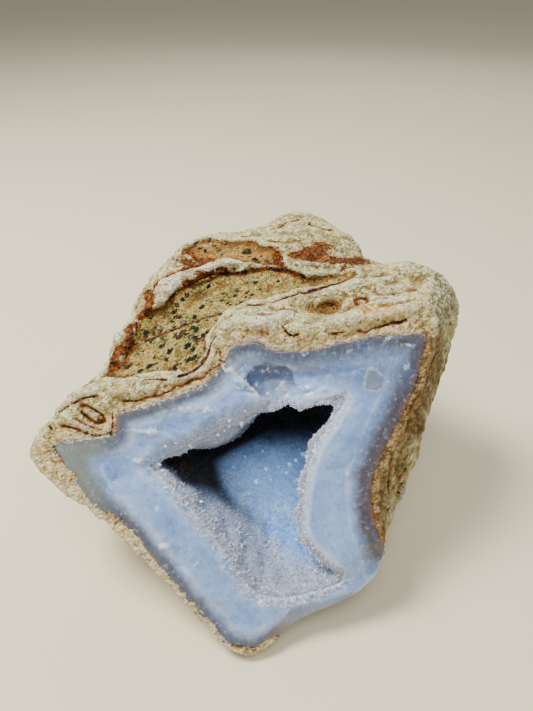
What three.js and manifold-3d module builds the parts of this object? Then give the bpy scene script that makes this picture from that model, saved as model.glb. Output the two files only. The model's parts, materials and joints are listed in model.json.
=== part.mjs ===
// A broken nodule of blue chalcedony. Three things have grown together in it: the matrix, which
// is speckled host rock between layers of pale rind, the thick blue chalcedony wall inside it,
// and the crust of small quartz crystals that lines the hollow. Millimetres, +Z up. The stone
// stands on a small worn flat, and the origin is on that surface under the middle of the stone.
//
// The stone is described in the frame of its broken front, the break: x to the right, y up the
// break, and depth straight back into the stone from it.
import * as THREE from "three";
import { mergeVertices } from "three/addons/utils/BufferGeometryUtils.js";
import Module from "manifold-3d";

const wasm = await Module();
wasm.setup();

// The break leans back from upright by this much, and the middle of it is at this place: the
// first two numbers bring the middle of the stone over the origin, the third is its height.
const LEAN = THREE.MathUtils.degToRad(37.3);
const BREAK_MIDDLE = [-0.3, -24.5, 35];
// Clearance between two minerals that touch in the real stone.
const JOINT_GAP = 0.3;
// Thickness of the crystal crust, and how far its crystals stand out of it.
const CRUST = 1.1;
const CRYSTAL = 1.2;
// Lumps on the rind: their height and their size.
const LUMP_HEIGHT = 0.7;
const LUMP_SIZE = 8;
// The layers of the rind end in steps on its sides: how thick they are, and how high the steps.
const LAYER = 9;
const LAYER_STEP = 1.3;
// How far the solids are carried past the break before they are cut along it.
const PAST_BREAK = 8;

// Facets round and along each surface.
const STONE_MESH = { around: 76, along: 24 };
const WALL_MESH = { around: 38, along: 8 };
const HOLLOW_MESH = { around: 46, along: 12 };
const BREAK_MESH = { across: 32, up: 36 };

// The outside of the stone: its outline at each depth behind the break, counterclockwise.
const STONE = [
  {
    depth: 0, centre: [-4, 0],
    outline: [
      [43.4, 39], [43.2, 34.8], [41.8, 27.9], [39.5, 20.9], [36.5, 13.9], [33.2, 7], [30.4, 0],
      [29.7, -7], [31.6, -13.9], [31.4, -16.4], [29.2, -20.8], [25.6, -25.4], [20.2, -27.9],
      [12.2, -31.4], [6.2, -38.4], [-0.5, -41.1], [-6, -39], [-10.2, -33.9], [-14.9, -29.3],
      [-19.5, -23.7], [-24.6, -18.3], [-29.7, -13], [-35.3, -8.1], [-39.9, -4.2], [-46.4, 0.5],
      [-49.4, 3.5], [-49.7, 7], [-48.8, 9.8], [-46.4, 13], [-44.1, 17], [-40.6, 19.3],
      [-37.6, 21.4], [-33.9, 22.5], [-29, 23.5], [-23.2, 23.7], [-18.1, 24.4], [-13.9, 26],
      [-10.9, 28.3], [-9.8, 31.3], [-8.4, 34.8], [-4.2, 36.7], [1.2, 37.2], [7, 36],
      [11.6, 35.8], [16.3, 36.2], [22.1, 36.7], [27.9, 37.6], [33.7, 39], [38.3, 40.4],
      [41.8, 41.8],
    ],
  },
  {
    depth: 6, centre: [-3, 2],
    outline: [
      [47, 42.5], [47, 36.3], [45.5, 29], [43.1, 21.7], [39.7, 14.4], [36.3, 5.9], [33.4, -3.8],
      [32.6, -12.4], [30.6, -17.5], [28.2, -21.8], [23, -26.4], [11, -30.9], [4, -37.5],
      [-1, -38.6], [-8, -35], [-15.4, -26.6], [-23.6, -19.4], [-31, -12.5], [-39, -6.5],
      [-46, -1.2], [-51, 2.2], [-53.2, 5.6], [-52.3, 9], [-49, 11.8], [-45.5, 15.8],
      [-40.6, 20], [-36.2, 22.4], [-33.1, 25.8], [-24.6, 27.5], [-16, 29.5], [-11.2, 33.5],
      [-6.3, 38.4], [1, 40.5], [12, 40.5], [24.1, 41.7], [36.3, 44.4], [44.1, 45.4],
    ],
  },
  {
    depth: 12, centre: [-1, 6],
    outline: [
      [50.5, 44.3], [50.8, 37.9], [49, 30.3], [47, 22.6], [43.9, 13.7], [40.9, 6.1], [38.6, -2.8],
      [35.8, -10.5], [32, -17], [26, -22.5], [19, -27], [9, -31], [0, -33.5], [-8, -31],
      [-16, -25.5], [-25, -18.5], [-34, -10.5], [-43, -4], [-49, 1.5], [-49.5, 8], [-45, 15.5],
      [-40, 21], [-37.5, 25], [-36, 29], [-32.5, 33.6], [-24.5, 36.4], [-15.7, 39.4], [-8, 43],
      [2.1, 46.1], [14.9, 47.1], [27.6, 49.1], [40.4, 50.7], [46.7, 49.4],
    ],
  },
  {
    depth: 20, centre: [1, 11],
    outline: [
      [53.8, 43.9], [53, 35.8], [50.9, 27.1], [48.4, 18.8], [45.2, 10.2], [43, 2.1], [41.2, -6],
      [38, -13], [29, -21], [19, -26], [8, -28.9], [-4, -27.5], [-14, -23], [-23, -17],
      [-31, -10.5], [-38, -3.5], [-42, 4], [-42, 12], [-39.5, 20], [-37, 28], [-34.6, 35.8],
      [-32.6, 40.1], [-28.6, 44.6], [-24.9, 46.6], [-16.8, 48.2], [-7.4, 51.4], [2, 53.9],
      [12.8, 55.2], [23.6, 54.1], [32.3, 53.6], [39.8, 54.1], [47.9, 52.2], [51.7, 48.7],
    ],
  },
  {
    depth: 28, centre: [3, 18],
    outline: [
      [47.5, 42], [50.3, 34], [50.5, 25], [49, 16], [47, 8], [45.5, 0], [43.6, -8], [38.5, -15],
      [32, -20], [22, -23], [10, -23.8], [-5, -23], [-16, -19], [-26, -12], [-33, -4], [-37, 5],
      [-38, 15], [-36.5, 25], [-34, 34], [-31.5, 42], [-28.5, 49.5], [-24.7, 54.2],
      [-18, 58.9], [-9.4, 61.2], [0.5, 62.3], [13.3, 62.9], [23.3, 63.2], [29, 58.6],
      [32.1, 55.5], [37, 52], [43, 48],
    ],
  },
  {
    depth: 36, centre: [5, 26],
    outline: [
      [46, 34], [46.5, 25], [46, 14], [44, 4], [42.5, -5], [41.5, -11], [38, -16.5], [30, -18.5],
      [18, -18.5], [5, -18], [-8, -16], [-18, -11], [-27, -4], [-31, 5], [-33, 15], [-32.5, 26],
      [-30, 37], [-26, 47], [-20, 56], [-14, 62], [-8.6, 64.7], [1.9, 66.8], [10.8, 70.7],
      [18.3, 70.4], [24.3, 66.5], [28, 60], [31, 54.5], [36, 49], [41, 43],
    ],
  },
  {
    depth: 44, centre: [7, 26],
    outline: [
      [40.5, 26], [40.5, 14], [39, 4], [37, -5], [33, -11.5], [24, -12.8], [10, -12.8], [-4, -12],
      [-14, -8], [-21, -2], [-25, 7], [-27, 17], [-26.5, 28], [-23, 39], [-16, 50], [-6, 58],
      [4, 62], [14, 63], [22, 60], [28, 53], [34, 45], [38.5, 36],
    ],
  },
  {
    depth: 52, centre: [8, 22],
    outline: [
      [33, 24], [33.5, 14], [32, 4], [28, -4.5], [20, -6.6], [6, -6.6], [-5, -4], [-13, 2],
      [-18, 10], [-19.5, 20], [-16.5, 31], [-10, 40], [-2, 45], [8, 50], [17, 48], [24, 41],
      [30, 33],
    ],
  },
  {
    depth: 60, centre: [8, 17],
    outline: [
      [24, 21], [25, 12], [22, 4], [14, -0.6], [3, -0.6], [-5, 4], [-10, 12], [-9, 21],
      [-4, 28], [3, 32], [12, 34], [19, 29],
    ],
  },
];
const STONE_BACK = [8, 15, 64];

// The outside of the chalcedony wall, where it grew on the matrix.
const WALL = [
  {
    depth: 0, centre: [-2, 0],
    outline: [
      [40.9, 35.1], [40.4, 31.3], [39.5, 26.5], [37.6, 21.4], [35.5, 16.3], [33, 11.1], [30.2, 5.6],
      [28.1, 0], [27.8, -5], [28, -9], [30.4, -13], [32.5, -16.2], [32.2, -19.6], [30.4, -23.2],
      [26.8, -27.4], [20.9, -29.6], [13.4, -33.2], [6, -37.4], [-0.3, -39.9], [-5.5, -38.2],
      [-9.3, -33.2], [-13.6, -28.4], [-18, -22.8], [-23, -17], [-27.5, -11], [-32.8, -7.7],
      [-37.4, -4.6], [-41, 1], [-46, 4.2], [-48.4, 7], [-46.4, 10.2], [-43.7, 9.8], [-39.5, 9.3],
      [-34.8, 7.6], [-32, 9.3], [-30.9, 12.8], [-30, 15.6], [-26.9, 16], [-21.8, 17.6],
      [-17.2, 19.5], [-12.5, 20.9], [-8.8, 23.2], [-6.7, 26.5], [-5.1, 30.2], [-2.8, 32.7],
      [0.5, 32.3], [3.7, 30.2], [9.3, 29.5], [15.8, 30], [19.7, 31.8], [26.5, 33], [33.7, 33.9],
    ],
  },
  {
    depth: 6, centre: [-1, 1],
    outline: [
      [41, 36.5], [41, 27], [36.5, 15], [31.5, 4], [29.5, -6], [31.4, -15.2], [29.8, -22.8],
      [24.6, -28], [12, -32.2], [5, -35], [0, -36], [-7, -33], [-14, -26.3], [-23, -17],
      [-33, -7.8], [-40, -2], [-44, 5], [-37, 11], [-28, 15.5], [-18, 20], [-9, 25], [-3, 31],
      [8, 29.5], [20, 31.5], [33, 34.5],
    ],
  },
  {
    depth: 14, centre: [1, 3],
    outline: [
      [40, 28], [36, 16], [32, 4], [31, -6], [29.5, -14], [23, -21], [13, -25.5], [2, -27.5],
      [-8, -25], [-18, -18], [-28, -9], [-34, -1], [-36, 6], [-28, 14], [-16, 21], [-4, 27],
      [10, 30], [24, 33], [36, 35],
    ],
  },
  {
    depth: 24, centre: [6, 6],
    outline: [
      [35, 18], [32, 5], [30, -6], [24, -14], [12, -18.5], [0, -18.5], [-12, -13], [-21, -4],
      [-24, 8], [-14, 18], [-2, 27], [12, 31], [25, 32], [34, 29],
    ],
  },
  {
    depth: 34, centre: [7, 9],
    outline: [
      [29, 12], [25, 1], [16, -8], [4, -10.5], [-7, -6], [-13, 3], [-14, 12], [-4, 22],
      [8, 28], [20, 29], [28, 23],
    ],
  },
];
const WALL_BACK = [7, 9, 41];

// The hollow: ribs from its mouth to its deepest point, each as points [x, y, depth]. They run
// from the left corner of the mouth along the lower edge, up the right edge and back on top.
// The lower ribs run in to the crease at the foot of the back wall, and then up that wall.
const HOLLOW_RIBS = [
  [[-24, 3, 0], [-24, 3.3, 6], [-22.5, 2.5, 13], [-14, 4, 20], [-5, 5.5, 25]],
  [[-18.5, -2, 0], [-18.5, -1.6, 6], [-17.2, -2.4, 13.5], [-10.5, 1, 19], [-3, 4, 24.5]],
  [[-11.6, -10, 0], [-11, -9, 6], [-10.2, -6.2, 14.5], [-5.5, -2, 19], [-0.5, 2.5, 24.5]],
  [[-5, -19, 0], [-4.5, -17, 6], [-2.8, -11.3, 16], [0.5, -6, 19.5], [2.5, 0.5, 24.5]],
  [[1, -27.5, 0], [1.8, -24.5, 6], [4, -16.3, 15.5], [4.8, -9.5, 19.5], [4.5, -1, 24.5]],
  [[9, -28.8, 0], [9.8, -25.5, 5.5], [11, -18.6, 12.5], [9.5, -11, 18.5], [7, -1.5, 24.5]],
  [[17, -27.6, 0], [16.6, -25.5, 4], [16, -20.5, 8.5], [13.5, -12, 17], [9, -1.5, 24.5]],
  [[24, -26, 0], [21.5, -24, 3], [19, -19.5, 8], [16, -9.5, 18], [10.5, 0, 25]],
  [[18, -19.5, 0], [19.5, -17.3, 4], [19.5, -14, 9], [17.5, -6, 19], [11, 2, 25.5]],
  [[12.3, -13, 0], [15.2, -11, 5.5], [18, -7.5, 12], [18, -1, 20], [11.5, 4, 26]],
  [[12.6, -5, 0], [16, -3.6, 7], [19.5, -1, 14], [18.5, 4, 22], [11.5, 6, 26.5]],
  [[15, 6.5, 0], [18, 7.3, 7], [20.5, 8, 15], [18.5, 9, 23], [11, 8, 27]],
  [[23, 19.5, 0], [22.8, 19.5, 7], [21.5, 18, 15], [17, 15, 24], [9.5, 11, 27.5]],
  [[14, 17.4, 0], [15.3, 20, 7], [15.5, 20.5, 15.5], [12.5, 18, 24.5], [7.5, 12.5, 28]],
  [[5, 17.4, 0], [5, 20.2, 7], [5, 20.8, 16], [4.5, 18, 24.5], [4.5, 12.5, 28]],
  [[-4, 13.5, 0], [-5, 16.3, 7], [-5, 17, 15.5], [-3.5, 15, 23.5], [1, 11, 27.5]],
  [[-14, 8.4, 0], [-15.5, 10.8, 7], [-15, 11.2, 15], [-10, 10, 22.5], [-3, 8.5, 26.5]],
];
const HOLLOW_BACK = [4.5, 6, 28.5];
const HOLLOW_AXIS = [3, -4];

// Smooth steps and waves that the reliefs are made of.
const ease = THREE.MathUtils.smoothstep;
const mound = (x, y, x0, y0, width, height) =>
  Math.exp(-(((x - x0) / width) ** 2) - ((y - y0) / height) ** 2);
const wave = (x, y, z, size) =>
  Math.sin(x / size + 1.7 * Math.sin(y / size + 0.6)) *
  Math.cos(z / size + 1.3 * Math.sin(x / size - 0.4)) +
  0.5 * Math.sin((2.3 * (y - x)) / size + 2) * Math.cos((1.9 * (z + y)) / size);

// How deep the broken front lies behind its plane at a place on it.
function breakRelief(x, y) {
  const scoop = 3 * mound(x, y, 9, 23, 14, 6) * ease(x + 0.75 * (y - 22), -2.5, 0.5);
  const rolledCorner = 3.6 * ease(0.6 * x - 0.8 * y, 26, 40) * ease(x, -2, 14);
  const nub = 2.4 * ease(-x, 41, 51);
  const shoulder = 1.4 * ease(x, 32, 44);
  const swell = 0.9 * mound(x, y, -15, 14, 12, 6) + 0.7 * mound(x, y, -16, -14, 9, 12);
  return scoop + rolledCorner + nub + shoulder - swell + 0.22 * wave(x, y, 0, 5);
}

// The eye that looks straight at the break, and where it sees a point of the stone on it.
const EYE = { x: 3.8, y: 28.9, distance: 124 };
function seenOnBreak(x, y, depth) {
  const share = EYE.distance / (EYE.distance + depth);
  return [THREE.MathUtils.lerp(EYE.x, x, share), THREE.MathUtils.lerp(EYE.y, y, share)];
}

// The bare host rock on top, as the eye sees it: the rind has come off it and left it lower.
const BARE_ROCK = {
  drop: 2.1,
  outline: [
    [-33.9, 23.7], [-32, 29], [-24.5, 39], [-18.6, 42.5], [-10.4, 46.4], [1.2, 48.8], [24.4, 48.3],
    [11.6, 43.9], [2.8, 41.8], [-5.8, 39], [-9.5, 33.7], [-10.9, 28.6], [-16.3, 25.1],
    [-23.2, 24.1],
  ],
};
// The roll of white rind behind it, the pocket in the rind on the right, and the larger knobs,
// each with its place, half width, half height and rise.
const ROLL = { from: [-21, 41.8], to: [-4, 50.6], width: 1.8, rise: 1.5 };
const POCKET = [17.6, 40.4, 5, 2.2, -3];
const KNOBS = [
  [-2, 37.5, 7, 3, 1], [24, 37, 6, 3, 0.9], [34, 43, 6, 3, 0.9], [-33, 19, 7, 4, 0.8],
  [6, 53, 8, 3, 0.9], [30, 52, 5, 3, -1.2], [41, 46, 4, 4, -0.8], [-45, 8, 4, 5, -0.6],
];

// The signed distance from a point to a closed outline, more than nothing inside it.
function insetFrom(outline, x, y) {
  let nearest = Infinity;
  let isInside = false;
  outline.forEach(([x1, y1], i) => {
    const [x2, y2] = outline[(i + 1) % outline.length];
    const edge = (x2 - x1) ** 2 + (y2 - y1) ** 2;
    const along = THREE.MathUtils.clamp(((x - x1) * (x2 - x1) + (y - y1) * (y2 - y1)) / edge, 0, 1);
    nearest = Math.min(nearest, Math.hypot(x - x1 - along * (x2 - x1), y - y1 - along * (y2 - y1)));
    if (y1 > y !== y2 > y && x < x1 + ((y - y1) * (x2 - x1)) / (y2 - y1)) isInside = !isInside;
  });
  return isInside ? nearest : -nearest;
}

// How far the outside of the stone stands out from its smooth body at a place on it. The marks
// on top are only laid on what the eye can see; the rest has lumps and the edges of its layers.
function stoneRelief({ x, y, z }, facing) {
  const [seenX, seenY] = seenOnBreak(x, y, z);
  const isSeen = ease(-facing.z, -0.1, 0.2) + ease(facing.y, 0.3, 0.7) * ease(z, 0, 4);
  const bare = ease(insetFrom(BARE_ROCK.outline, seenX, seenY), -0.3, 1.2);
  const [fromX, fromY] = ROLL.from;
  const [toX, toY] = ROLL.to;
  const reach = THREE.MathUtils.clamp((seenX - fromX) / (toX - fromX), 0, 1);
  const aside = seenY - THREE.MathUtils.lerp(fromY, toY, reach);
  const beyond = seenX - THREE.MathUtils.lerp(fromX, toX, reach);
  const roll = ROLL.rise * Math.exp(-((aside / ROLL.width) ** 2) - (beyond / 4) ** 2);
  const marks = [POCKET, ...KNOBS]
    .map(([x0, y0, width, height, rise]) => rise * mound(seenX, seenY, x0, y0, width, height))
    .reduce((sum, rise) => sum + rise);
  const lumps = LUMP_HEIGHT * wave(x, y, z, LUMP_SIZE);
  const layer = THREE.MathUtils.euclideanModulo(z + 0.15 * y + 2 * wave(x, y, z, 22), LAYER);
  const layers = LAYER_STEP * (ease(layer, 0, 1.5) - layer / LAYER) * ease(z, 4, 10);
  const top = Math.min(isSeen, 1) * (roll + marks - BARE_ROCK.drop * bare);
  return ease(z, -2, 2) * (top + (1 - 0.7 * bare) * lumps + (1 - bare) * layers);
}

// The radius of a closed outline about its centre, as a function of the compass angle.
function outlineRadius({ centre, outline }) {
  const [cx, cy] = centre;
  const corners = outline.map(([x, y]) => new THREE.Vector3(x - cx, y - cy, 0));
  const curve = new THREE.CatmullRomCurve3(corners, true, "centripetal");
  const samples = curve
    .getPoints(outline.length * 8)
    .slice(1)
    .map((p) => ({ angle: Math.atan2(p.y, p.x), radius: Math.hypot(p.x, p.y) }))
    .sort((a, b) => a.angle - b.angle);
  const turn = 2 * Math.PI;
  samples.push({ angle: samples[0].angle + turn, radius: samples[0].radius });
  return (angle) => {
    const wrapped = samples[0].angle + THREE.MathUtils.euclideanModulo(angle - samples[0].angle, turn);
    const next = samples.findIndex((s) => s.angle >= wrapped);
    if (next <= 0) return samples[0].radius;
    const before = samples[next - 1];
    const share = (wrapped - before.angle) / (samples[next].angle - before.angle || 1);
    return THREE.MathUtils.lerp(before.radius, samples[next].radius, share);
  };
}

// Ribs of a body that is given by its outlines: one curve for each compass angle.
function outlineRibs(stations, back, count) {
  const radii = stations.map(outlineRadius);
  return Array.from({ length: count }, (_, i) => {
    const angle = (2 * Math.PI * i) / count;
    const points = stations.map(({ depth, centre: [cx, cy] }, k) => {
      const radius = radii[k](angle);
      return new THREE.Vector3(cx + radius * Math.cos(angle), cy + radius * Math.sin(angle), depth);
    });
    return new THREE.CatmullRomCurve3([...points, new THREE.Vector3(...back)], false, "centripetal");
  });
}

// A closed body whose surface follows the ribs: a sphere with its poles in front of the break
// and at the back, each of its rings laid on the same stretch of every rib. The vertices that
// can be the tips of crystals are marked, each with a ring of unmarked ones round it.
function bodyOfRibs(ribs, along, axis) {
  const around = ribs.length;
  const sphere = new THREE.SphereGeometry(1, around, along + 1);
  const uv = sphere.getAttribute("uv");
  const position = sphere.getAttribute("position");
  const tips = new Float32Array(position.count);
  for (let i = 0; i < position.count; i++) {
    const turn = THREE.MathUtils.euclideanModulo(-Math.round(uv.getX(i) * around), around);
    const ring = Math.round((1 - uv.getY(i)) * (along + 1));
    const isFront = ring === 0;
    const isBack = ring === along + 1;
    const point = isFront
      ? new THREE.Vector3(axis[0], axis[1], -PAST_BREAK)
      : alongRib(ribs[turn], (ring - 1) / along, 1 / along);
    position.setXYZ(i, point.x, point.y, point.z);
    tips[i] = !isFront && !isBack && turn % 2 === 0 && ring % 2 === 0;
  }
  sphere.setAttribute("tip", new THREE.BufferAttribute(tips, 1));
  return mergedShape(sphere);
}

function mergedShape(geometry) {
  geometry.deleteAttribute("normal");
  geometry.deleteAttribute("uv");
  return mergeVertices(geometry, 1e-4);
}

// A point on a rib that is carried straight forward past the break for its first stretch.
function alongRib(rib, share, forward) {
  if (share <= 0) return rib.getPoint(0).setZ(-PAST_BREAK);
  return rib.getPoint((share - forward) / (1 - forward));
}

// Moves each vertex out along its normal by what the relief gives for its place.
function withRelief(geometry, relief) {
  geometry.computeVertexNormals();
  const position = geometry.getAttribute("position");
  const normal = geometry.getAttribute("normal");
  const tip = geometry.getAttribute("tip");
  const place = new THREE.Vector3();
  const facing = new THREE.Vector3();
  for (let i = 0; i < position.count; i++) {
    place.fromBufferAttribute(position, i);
    facing.fromBufferAttribute(normal, i);
    place.addScaledVector(facing, relief(place, facing, tip.getX(i)));
    position.setXYZ(i, place.x, place.y, place.z);
  }
  return geometry;
}

function toSolid(geometry) {
  const index = new Uint32Array(geometry.index.array);
  const vertProperties = new Float32Array(geometry.getAttribute("position").array);
  return new wasm.Manifold(new wasm.Mesh({ numProp: 3, vertProperties, triVerts: index }));
}

function toGeometry(solid) {
  const { vertProperties, triVerts } = solid.getMesh();
  const geometry = new THREE.BufferGeometry();
  geometry.setAttribute("position", new THREE.BufferAttribute(new Float32Array(vertProperties), 3));
  geometry.setIndex(new THREE.BufferAttribute(new Uint32Array(triVerts), 1));
  return geometry;
}

// The block of space behind the broken front.
function behindBreak() {
  const width = 130;
  const height = 160;
  const depth = 90;
  const middle = 20;
  const block = new THREE.BoxGeometry(width, height, depth, BREAK_MESH.across, BREAK_MESH.up, 1);
  const position = block.getAttribute("position");
  for (let i = 0; i < position.count; i++) {
    const x = position.getX(i);
    const y = position.getY(i) + middle;
    const isBack = position.getZ(i) > 0;
    position.setXYZ(i, x, y, isBack ? depth : breakRelief(x, y));
  }
  return toSolid(mergedShape(block));
}

function stoneBody() {
  const ribs = outlineRibs(STONE, STONE_BACK, STONE_MESH.around);
  return toSolid(withRelief(bodyOfRibs(ribs, STONE_MESH.along, STONE[0].centre), stoneRelief));
}

function wallBody(grow) {
  const ribs = outlineRibs(WALL, WALL_BACK, WALL_MESH.around);
  return toSolid(withRelief(bodyOfRibs(ribs, WALL_MESH.along, WALL[0].centre), () => grow));
}

// The hollow, made smaller by a thickness that may be another one at the tips of the crystals.
function hollowBody(thickness, tipThickness) {
  const loops = HOLLOW_RIBS[0].map((_, k) =>
    new THREE.CatmullRomCurve3(
      HOLLOW_RIBS.map((rib) => new THREE.Vector3(...rib[k])), true, "centripetal"));
  const back = new THREE.Vector3(...HOLLOW_BACK);
  const { around, along } = HOLLOW_MESH;
  const ribs = Array.from({ length: around }, (_, i) =>
    new THREE.CatmullRomCurve3(
      [...loops.map((loop) => loop.getPoint(i / around)), back], false, "centripetal"));
  const body = bodyOfRibs(ribs, along, HOLLOW_AXIS);
  return toSolid(withRelief(body, (place, facing, tip) => (tip ? -tipThickness : -thickness)));
}

// The stone's own frame: the break leans back, and its middle stands above the table.
function standing(solid) {
  const leaning = new THREE.Matrix4().makeBasis(
    new THREE.Vector3(1, 0, 0),
    new THREE.Vector3(0, Math.sin(LEAN), Math.cos(LEAN)),
    new THREE.Vector3(0, Math.cos(LEAN), -Math.sin(LEAN)));
  leaning.setPosition(...BREAK_MIDDLE);
  return solid.transform(leaning.elements);
}

function aboveTable() {
  const size = 300;
  const block = new THREE.BoxGeometry(size, size, size).translate(0, 0, size / 2);
  return toSolid(mergedShape(block));
}

const front = behindBreak();
const rock = stoneBody().intersect(front).subtract(wallBody(JOINT_GAP));
const wall = wallBody(0).intersect(front).subtract(hollowBody(0, 0));
const crust = hollowBody(JOINT_GAP, JOINT_GAP)
  .intersect(front)
  .subtract(hollowBody(CRUST, CRUST + CRYSTAL));

const stone = new THREE.Group();
for (const [name, solid, look] of [
  ["matrix", standing(rock).intersect(aboveTable()), { color: 0xb8ad8c, roughness: 0.9 }],
  ["chalcedony", standing(wall), { color: 0x93a9cf, roughness: 0.35 }],
  ["druse", standing(crust), { color: 0xa9b9d6, roughness: 0.2 }],
]) {
  const material = new THREE.MeshStandardMaterial({ metalness: 0, ...look });
  const mesh = new THREE.Mesh(toGeometry(solid), material);
  mesh.name = name;
  stone.add(mesh);
}

export default stone;
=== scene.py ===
"""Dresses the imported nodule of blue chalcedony: weathered rind and speckled host rock, the
banded blue wall, and the small quartz crystals in its hollow.

Lengths in the code are millimetres, and MM turns them into Blender's metres. The broken front of
the stone is called the break. A place on it is given as (x, y): x to the right and y up the
break, both from its middle. The eye looks straight at the break, so the marks on the top of the
stone are given by where the eye sees them on the plane of the break."""

import json
import math
from types import SimpleNamespace

import bpy
import numpy as np
from bpy.props import FloatProperty, FloatVectorProperty, IntProperty, PointerProperty
from mathutils import Matrix, Vector, noise
from mathutils.bvhtree import BVHTree
from mathutils.kdtree import KDTree

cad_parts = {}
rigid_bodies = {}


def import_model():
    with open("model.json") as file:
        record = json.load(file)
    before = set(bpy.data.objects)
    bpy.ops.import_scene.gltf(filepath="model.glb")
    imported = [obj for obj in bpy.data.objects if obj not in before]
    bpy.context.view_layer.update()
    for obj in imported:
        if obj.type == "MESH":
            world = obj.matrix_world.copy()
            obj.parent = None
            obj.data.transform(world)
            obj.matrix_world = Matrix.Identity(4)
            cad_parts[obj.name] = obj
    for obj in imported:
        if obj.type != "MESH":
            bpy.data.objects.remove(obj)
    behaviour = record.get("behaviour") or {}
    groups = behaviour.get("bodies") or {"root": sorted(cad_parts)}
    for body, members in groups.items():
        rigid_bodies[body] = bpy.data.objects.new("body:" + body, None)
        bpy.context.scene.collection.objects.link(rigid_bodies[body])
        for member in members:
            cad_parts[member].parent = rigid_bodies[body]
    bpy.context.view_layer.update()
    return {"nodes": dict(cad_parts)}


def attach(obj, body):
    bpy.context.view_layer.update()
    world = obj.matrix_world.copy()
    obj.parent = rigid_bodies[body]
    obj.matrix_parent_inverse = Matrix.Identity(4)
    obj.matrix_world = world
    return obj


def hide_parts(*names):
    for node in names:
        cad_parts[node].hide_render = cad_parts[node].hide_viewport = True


bl_info = {
    "name": "Blue Chalcedony",
    "version": (1, 0, 0),
    "blender": (4, 5, 0),
    "location": "3D View > Sidebar > Chalcedony",
    "description": "Dresses a packed nodule of blue chalcedony in rind, banded stone and crystals",
    "category": "Object",
}

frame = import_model()
MM = 0.001
QUARTZ_IOR = 1.54

# The break leans back from upright, and its middle is at this place in the part's frame.
LEAN = math.radians(37.3)
BREAK_MIDDLE = np.array([-0.3, -24.5, 35.0])
RIGHT = np.array([1.0, 0.0, 0.0])
UP_BREAK = np.array([0.0, math.sin(LEAN), math.cos(LEAN)])
INTO = np.array([0.0, math.cos(LEAN), -math.sin(LEAN)])
EYE_ON_BREAK = np.array([3.8, 28.9])
EYE_DISTANCE = 124.0
EYE = (
    BREAK_MIDDLE
    + EYE_ON_BREAK[0] * RIGHT
    + EYE_ON_BREAK[1] * UP_BREAK
    - EYE_DISTANCE * INTO
)

# Outlines of the bare host rock, where the rind has come off: the large field and the one behind.
BARE_FIELD = [
    (-33.9, 23.7), (-32.5, 27.4), (-30.0, 26.5), (-28.8, 29.7), (-27.2, 33.0), (-25.8, 37.2),
    (-23.9, 39.2), (-19.0, 40.9), (-18.6, 42.5), (-15.1, 44.8), (-10.4, 46.4), (-6.5, 48.1),
    (-2.3, 48.1), (4.2, 49.5), (9.3, 48.5), (13.0, 46.9), (17.4, 47.4), (24.4, 48.5),
    (24.8, 47.6), (22.1, 46.4), (18.6, 45.5), (11.6, 43.9), (7.0, 42.7), (2.8, 41.8),
    (-1.2, 41.1), (-4.2, 39.9), (-6.5, 38.1), (-8.6, 35.5), (-10.0, 33.0), (-10.0, 30.2),
    (-10.9, 28.1), (-12.8, 26.2), (-15.6, 25.1), (-23.2, 25.1), (-26.7, 24.1), (-30.2, 23.5),
]
BARE_BEHIND = [
    (-14.9, 53.9), (-12.5, 55.5), (-10.4, 56.4), (-6.5, 55.7), (1.2, 55.5), (2.8, 54.3),
    (5.1, 54.1), (7.0, 52.9), (7.2, 51.1), (6.7, 49.9), (1.2, 49.9), (-1.2, 49.9),
    (-2.8, 50.8), (-5.6, 51.1), (-8.4, 50.6), (-12.5, 50.9), (-14.6, 52.7),
]
# The roll of white rind between them.
WHITE_ROLL = [
    (-20.9, 41.8), (-20.9, 44.1), (-19.5, 45.5), (-16.7, 46.7), (-13.9, 47.4), (-10.9, 48.5),
    (-8.4, 49.5), (-6.0, 50.2), (-3.7, 50.2), (-2.3, 49.5), (0.5, 49.2),
]

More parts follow.
